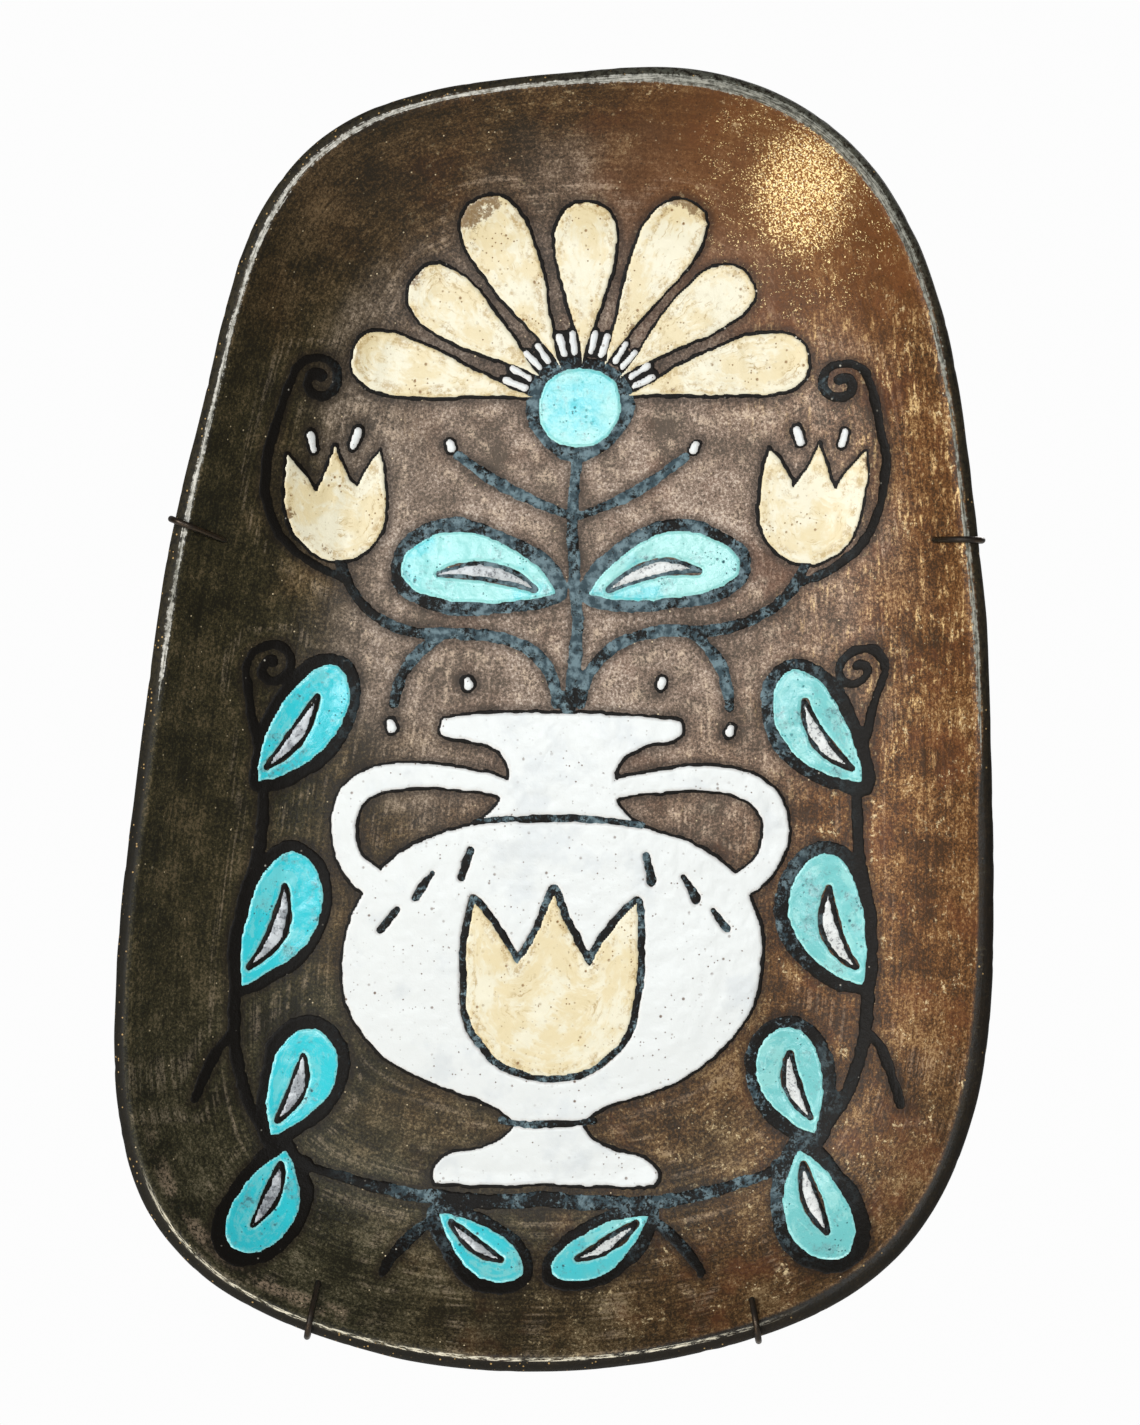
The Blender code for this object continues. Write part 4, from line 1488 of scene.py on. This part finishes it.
# %% White
def white_enamel():
    glass = Finish("white_enamel")
    edge, clouds, grains = glass.value("from_edge"), glass.noise(60, 4, 0.6), glass.noise(900, 3, 0.7)
    glass.colour = glass.mix(clouds.between(0.50, 0.66), (210, 213, 212), (200, 204, 205))
    glass.stain((edge + (grains - 0.5) * 3).between(0.9, 0.1) * 0.35, (196, 188, 184))
    pits = glass.pit(0.08, (104, 84, 70))
    glass.wear([ENAMELS["white"]], grains * 0.15 + 0.26, grains * 0.4 - pits * 0.6, 0.15 * MM)


white_enamel()

# %% [markdown]
# The black is manganese, dense and dull on the walls, with a few pale specks that are painted
# glints, most of them near the gold. Over the middle the broad lines carry a mottled blue grey, most
# of all round the stem: a painted reflection of the window in the glossy black. The thin ones get
# none of it, so one function makes both, told how much of the painted reflection to lay.

# %% Black
def black_glaze(name, pieces, reflection_share):
    """Manganese black, with the share of a painted blue-grey reflection that it takes over the middle."""
    glaze = Finish(name, gloss_level=0.12)
    clouds, grains = glaze.noise(130, 4, 0.65), glaze.noise(1000, 3, 0.8)
    # painted reflection of the window: mottled blue grey over the middle of the floor
    floor_part = glaze.window(0.008, -0.112, (0.078, 0.045), (0.150, 0.125))
    centre = glaze.window(0.008, -0.055, (0.066, 0.030), (0.070, 0.035))
    patchy = (grains * 0.7 + clouds * 0.7 + centre * 0.09).between(0.69, 0.80) * floor_part * reflection_share
    reflected_blue_grey = glaze.mix(glaze.noise(420, 3).between(0.40, 0.62), (50, 66, 73), (102, 122, 129))
    glaze.colour = glaze.mix(patchy, (14, 11, 8), reflected_blue_grey)
    # pale specks painted as glints, most of them near the gold
    gilt_glints = glaze.specks(900, 0.10) * glaze.x.between(0.03, 0.06) * glaze.z.between(-0.03, 0.01)
    glaze.stain(gilt_glints + glaze.specks(1000, 0.012, 3.0), (196, 190, 176))
    glaze.wear(pieces, grains * 0.4 + 0.22, grains, 0.20 * MM)


black_glaze("black_glaze", [ENAMELS["black_line"]], 1)
black_glaze("thin_black_glaze", [ENAMELS["thin_line"]], 0)

# %% [markdown]
# ## Old steel
#
# The hanger's wire has rusted and been handled until it is dark brown with a dull shine, and the
# springs still show grey metal between the brown. Both are steel, so both stay metallic, and noise
# decides where the tarnish lies.

# %% Metal
def aged_steel(name, pieces, bright, brown):
    """Tarnished steel between a bright and a brown colour."""
    steel = Finish(name)
    patches, grains = steel.noise(180, 5, 0.65), steel.noise(2200, 3)
    tarnish = patches.between(0.38, 0.66)
    steel.colour = steel.mix(tarnish, bright, brown)
    steel.wear(pieces, tarnish * 0.25 + grains * 0.15 + 0.20, grains, 0.05 * MM, 1 - tarnish * 0.45)


aged_steel("rusted_wire", [upper_wire, lower_wire], (70, 60, 50), (24, 19, 14))
aged_steel("dulled_springs", springs, (168, 158, 146), (104, 84, 66))

# %% [markdown]
# ## Studio
#
# The plate is looked at straight from the front, level with its middle. A long lens from over a
# metre away keeps the rim's shape true; a short one would swell whatever is nearest. The distance
# follows from how much of the plate's height the picture should take in.

# %% Camera
FOCAL, SENSOR = 110, 36  # mm
FRAMED = 394.4 * MM  # height that the picture takes in at the rim
scene = bpy.context.scene
distance = FRAMED * FOCAL / SENSOR
lens = bpy.data.cameras.new("camera")
lens.lens, lens.sensor_width = FOCAL, SENSOR
camera = bpy.data.objects.new("camera", lens)
camera.location = (1.8 * MM, LIP_EDGE - distance, MIDDLE + 1.9 * MM)
camera.rotation_euler = (pi / 2, 0, 0)
scene.collection.objects.link(camera)
scene.camera = camera
print(f"the camera stands {distance:.2f} m from the rim")

# %% [markdown]
# A large soft light at the left gives the form, and a small one straight in front is the window
# whose reflection greys the flat middle of the dish. A low warm lamp lights the gold, and one
# behind shows the back. Area lights are used, since their size sets how soft the shadows are.

# %% Lights
def add_light(name, place, target, size, power, colour=(1, 1, 1)):
    """A rectangular light at a place, turned towards a target."""
    light = bpy.data.lights.new(name, "AREA")
    light.shape, light.size, light.size_y = "RECTANGLE", *size
    light.energy, light.color = power, colour
    lamp = bpy.data.objects.new(name, light)
    lamp.location = place
    lamp.rotation_euler = (Vector(target) - Vector(place)).to_track_quat("-Z", "Y").to_euler()
    scene.collection.objects.link(lamp)


MIDDLE_SPOT = (0, 0, MIDDLE)
add_light("key", (-1.5, -1.8, 0.5), MIDDLE_SPOT, (1.2, 1.4), 44)
add_light("window", (0.025, -1.35, 0.05), (0.025, 0, 0.05), (0.27, 0.35), 5.5, (0.90, 0.96, 1))
add_light("low_warm", (-0.5, -0.7, -0.6), (0.06, -0.02, 0.04), (0.12, 0.12), 1.2, (1, 0.78, 0.5))
add_light("behind", (0.9, 1.7, 1.1), MIDDLE_SPOT, (1.2, 1.2), 25)
print(len(bpy.data.lights), "lights")

# %% [markdown]
# The room is plain and pale. It is bright to look at but lights the plate only a little, so that
# the dark glaze stays dark, and the pale floor a metre below glows faintly by itself, because so
# little light would leave it grey.

# %% Room and floor
ROOM_LIGHT, ROOM_SEEN = 0.25, 0.73  # its light on the plate, and what is added to look at
PALE = (238, 238, 236)
FLOOR_HALF, FLOOR_DROP = 3, 1  # metres

world = bpy.data.worlds.new("pale_room")
world.use_nodes = True
scene.world = world
room = Nodes(world.node_tree)
seen = room.node("ShaderNodeLightPath", output="Is Camera Ray")
background = world.node_tree.nodes["Background"]
room.plug((1, 1, 1, 1), background.inputs["Color"])
room.plug(seen * ROOM_SEEN + ROOM_LIGHT, background.inputs["Strength"])
scene.view_settings.view_transform = "Standard"

corners = [(x * FLOOR_HALF, y * FLOOR_HALF, -FLOOR_DROP) for x, y in ((-1, -1), (1, -1), (1, 1), (-1, 1))]
floor = add_mesh("floor", corners, [(0, 1, 2, 3)])
floor_finish = Finish("pale_floor")
floor_finish.plug(screen(*PALE), floor_finish.shader.inputs["Emission Color"])
floor_finish.plug(0.3, floor_finish.shader.inputs["Emission Strength"])
floor_finish.colour = floor_finish.mix(floor_finish.noise(3), PALE, (228, 228, 226))
floor_finish.wear([floor], 0.8)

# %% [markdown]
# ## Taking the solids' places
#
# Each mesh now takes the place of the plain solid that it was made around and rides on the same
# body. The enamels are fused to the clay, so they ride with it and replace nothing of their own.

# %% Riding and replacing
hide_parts("plate")
for piece in [clay] + list(ENAMELS.values()):
    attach(piece, "root")
for piece, node in ((upper_wire, "hanger_upper_wire"), (lower_wire, "hanger_lower_wire")):
    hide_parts(node)
    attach(piece, "root")
for piece, node in zip(springs, ("spring_left", "spring_right")):
    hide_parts(node)
    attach(piece, "root")
print("pieces:", 1 + len(ENAMELS) + 2 + len(springs))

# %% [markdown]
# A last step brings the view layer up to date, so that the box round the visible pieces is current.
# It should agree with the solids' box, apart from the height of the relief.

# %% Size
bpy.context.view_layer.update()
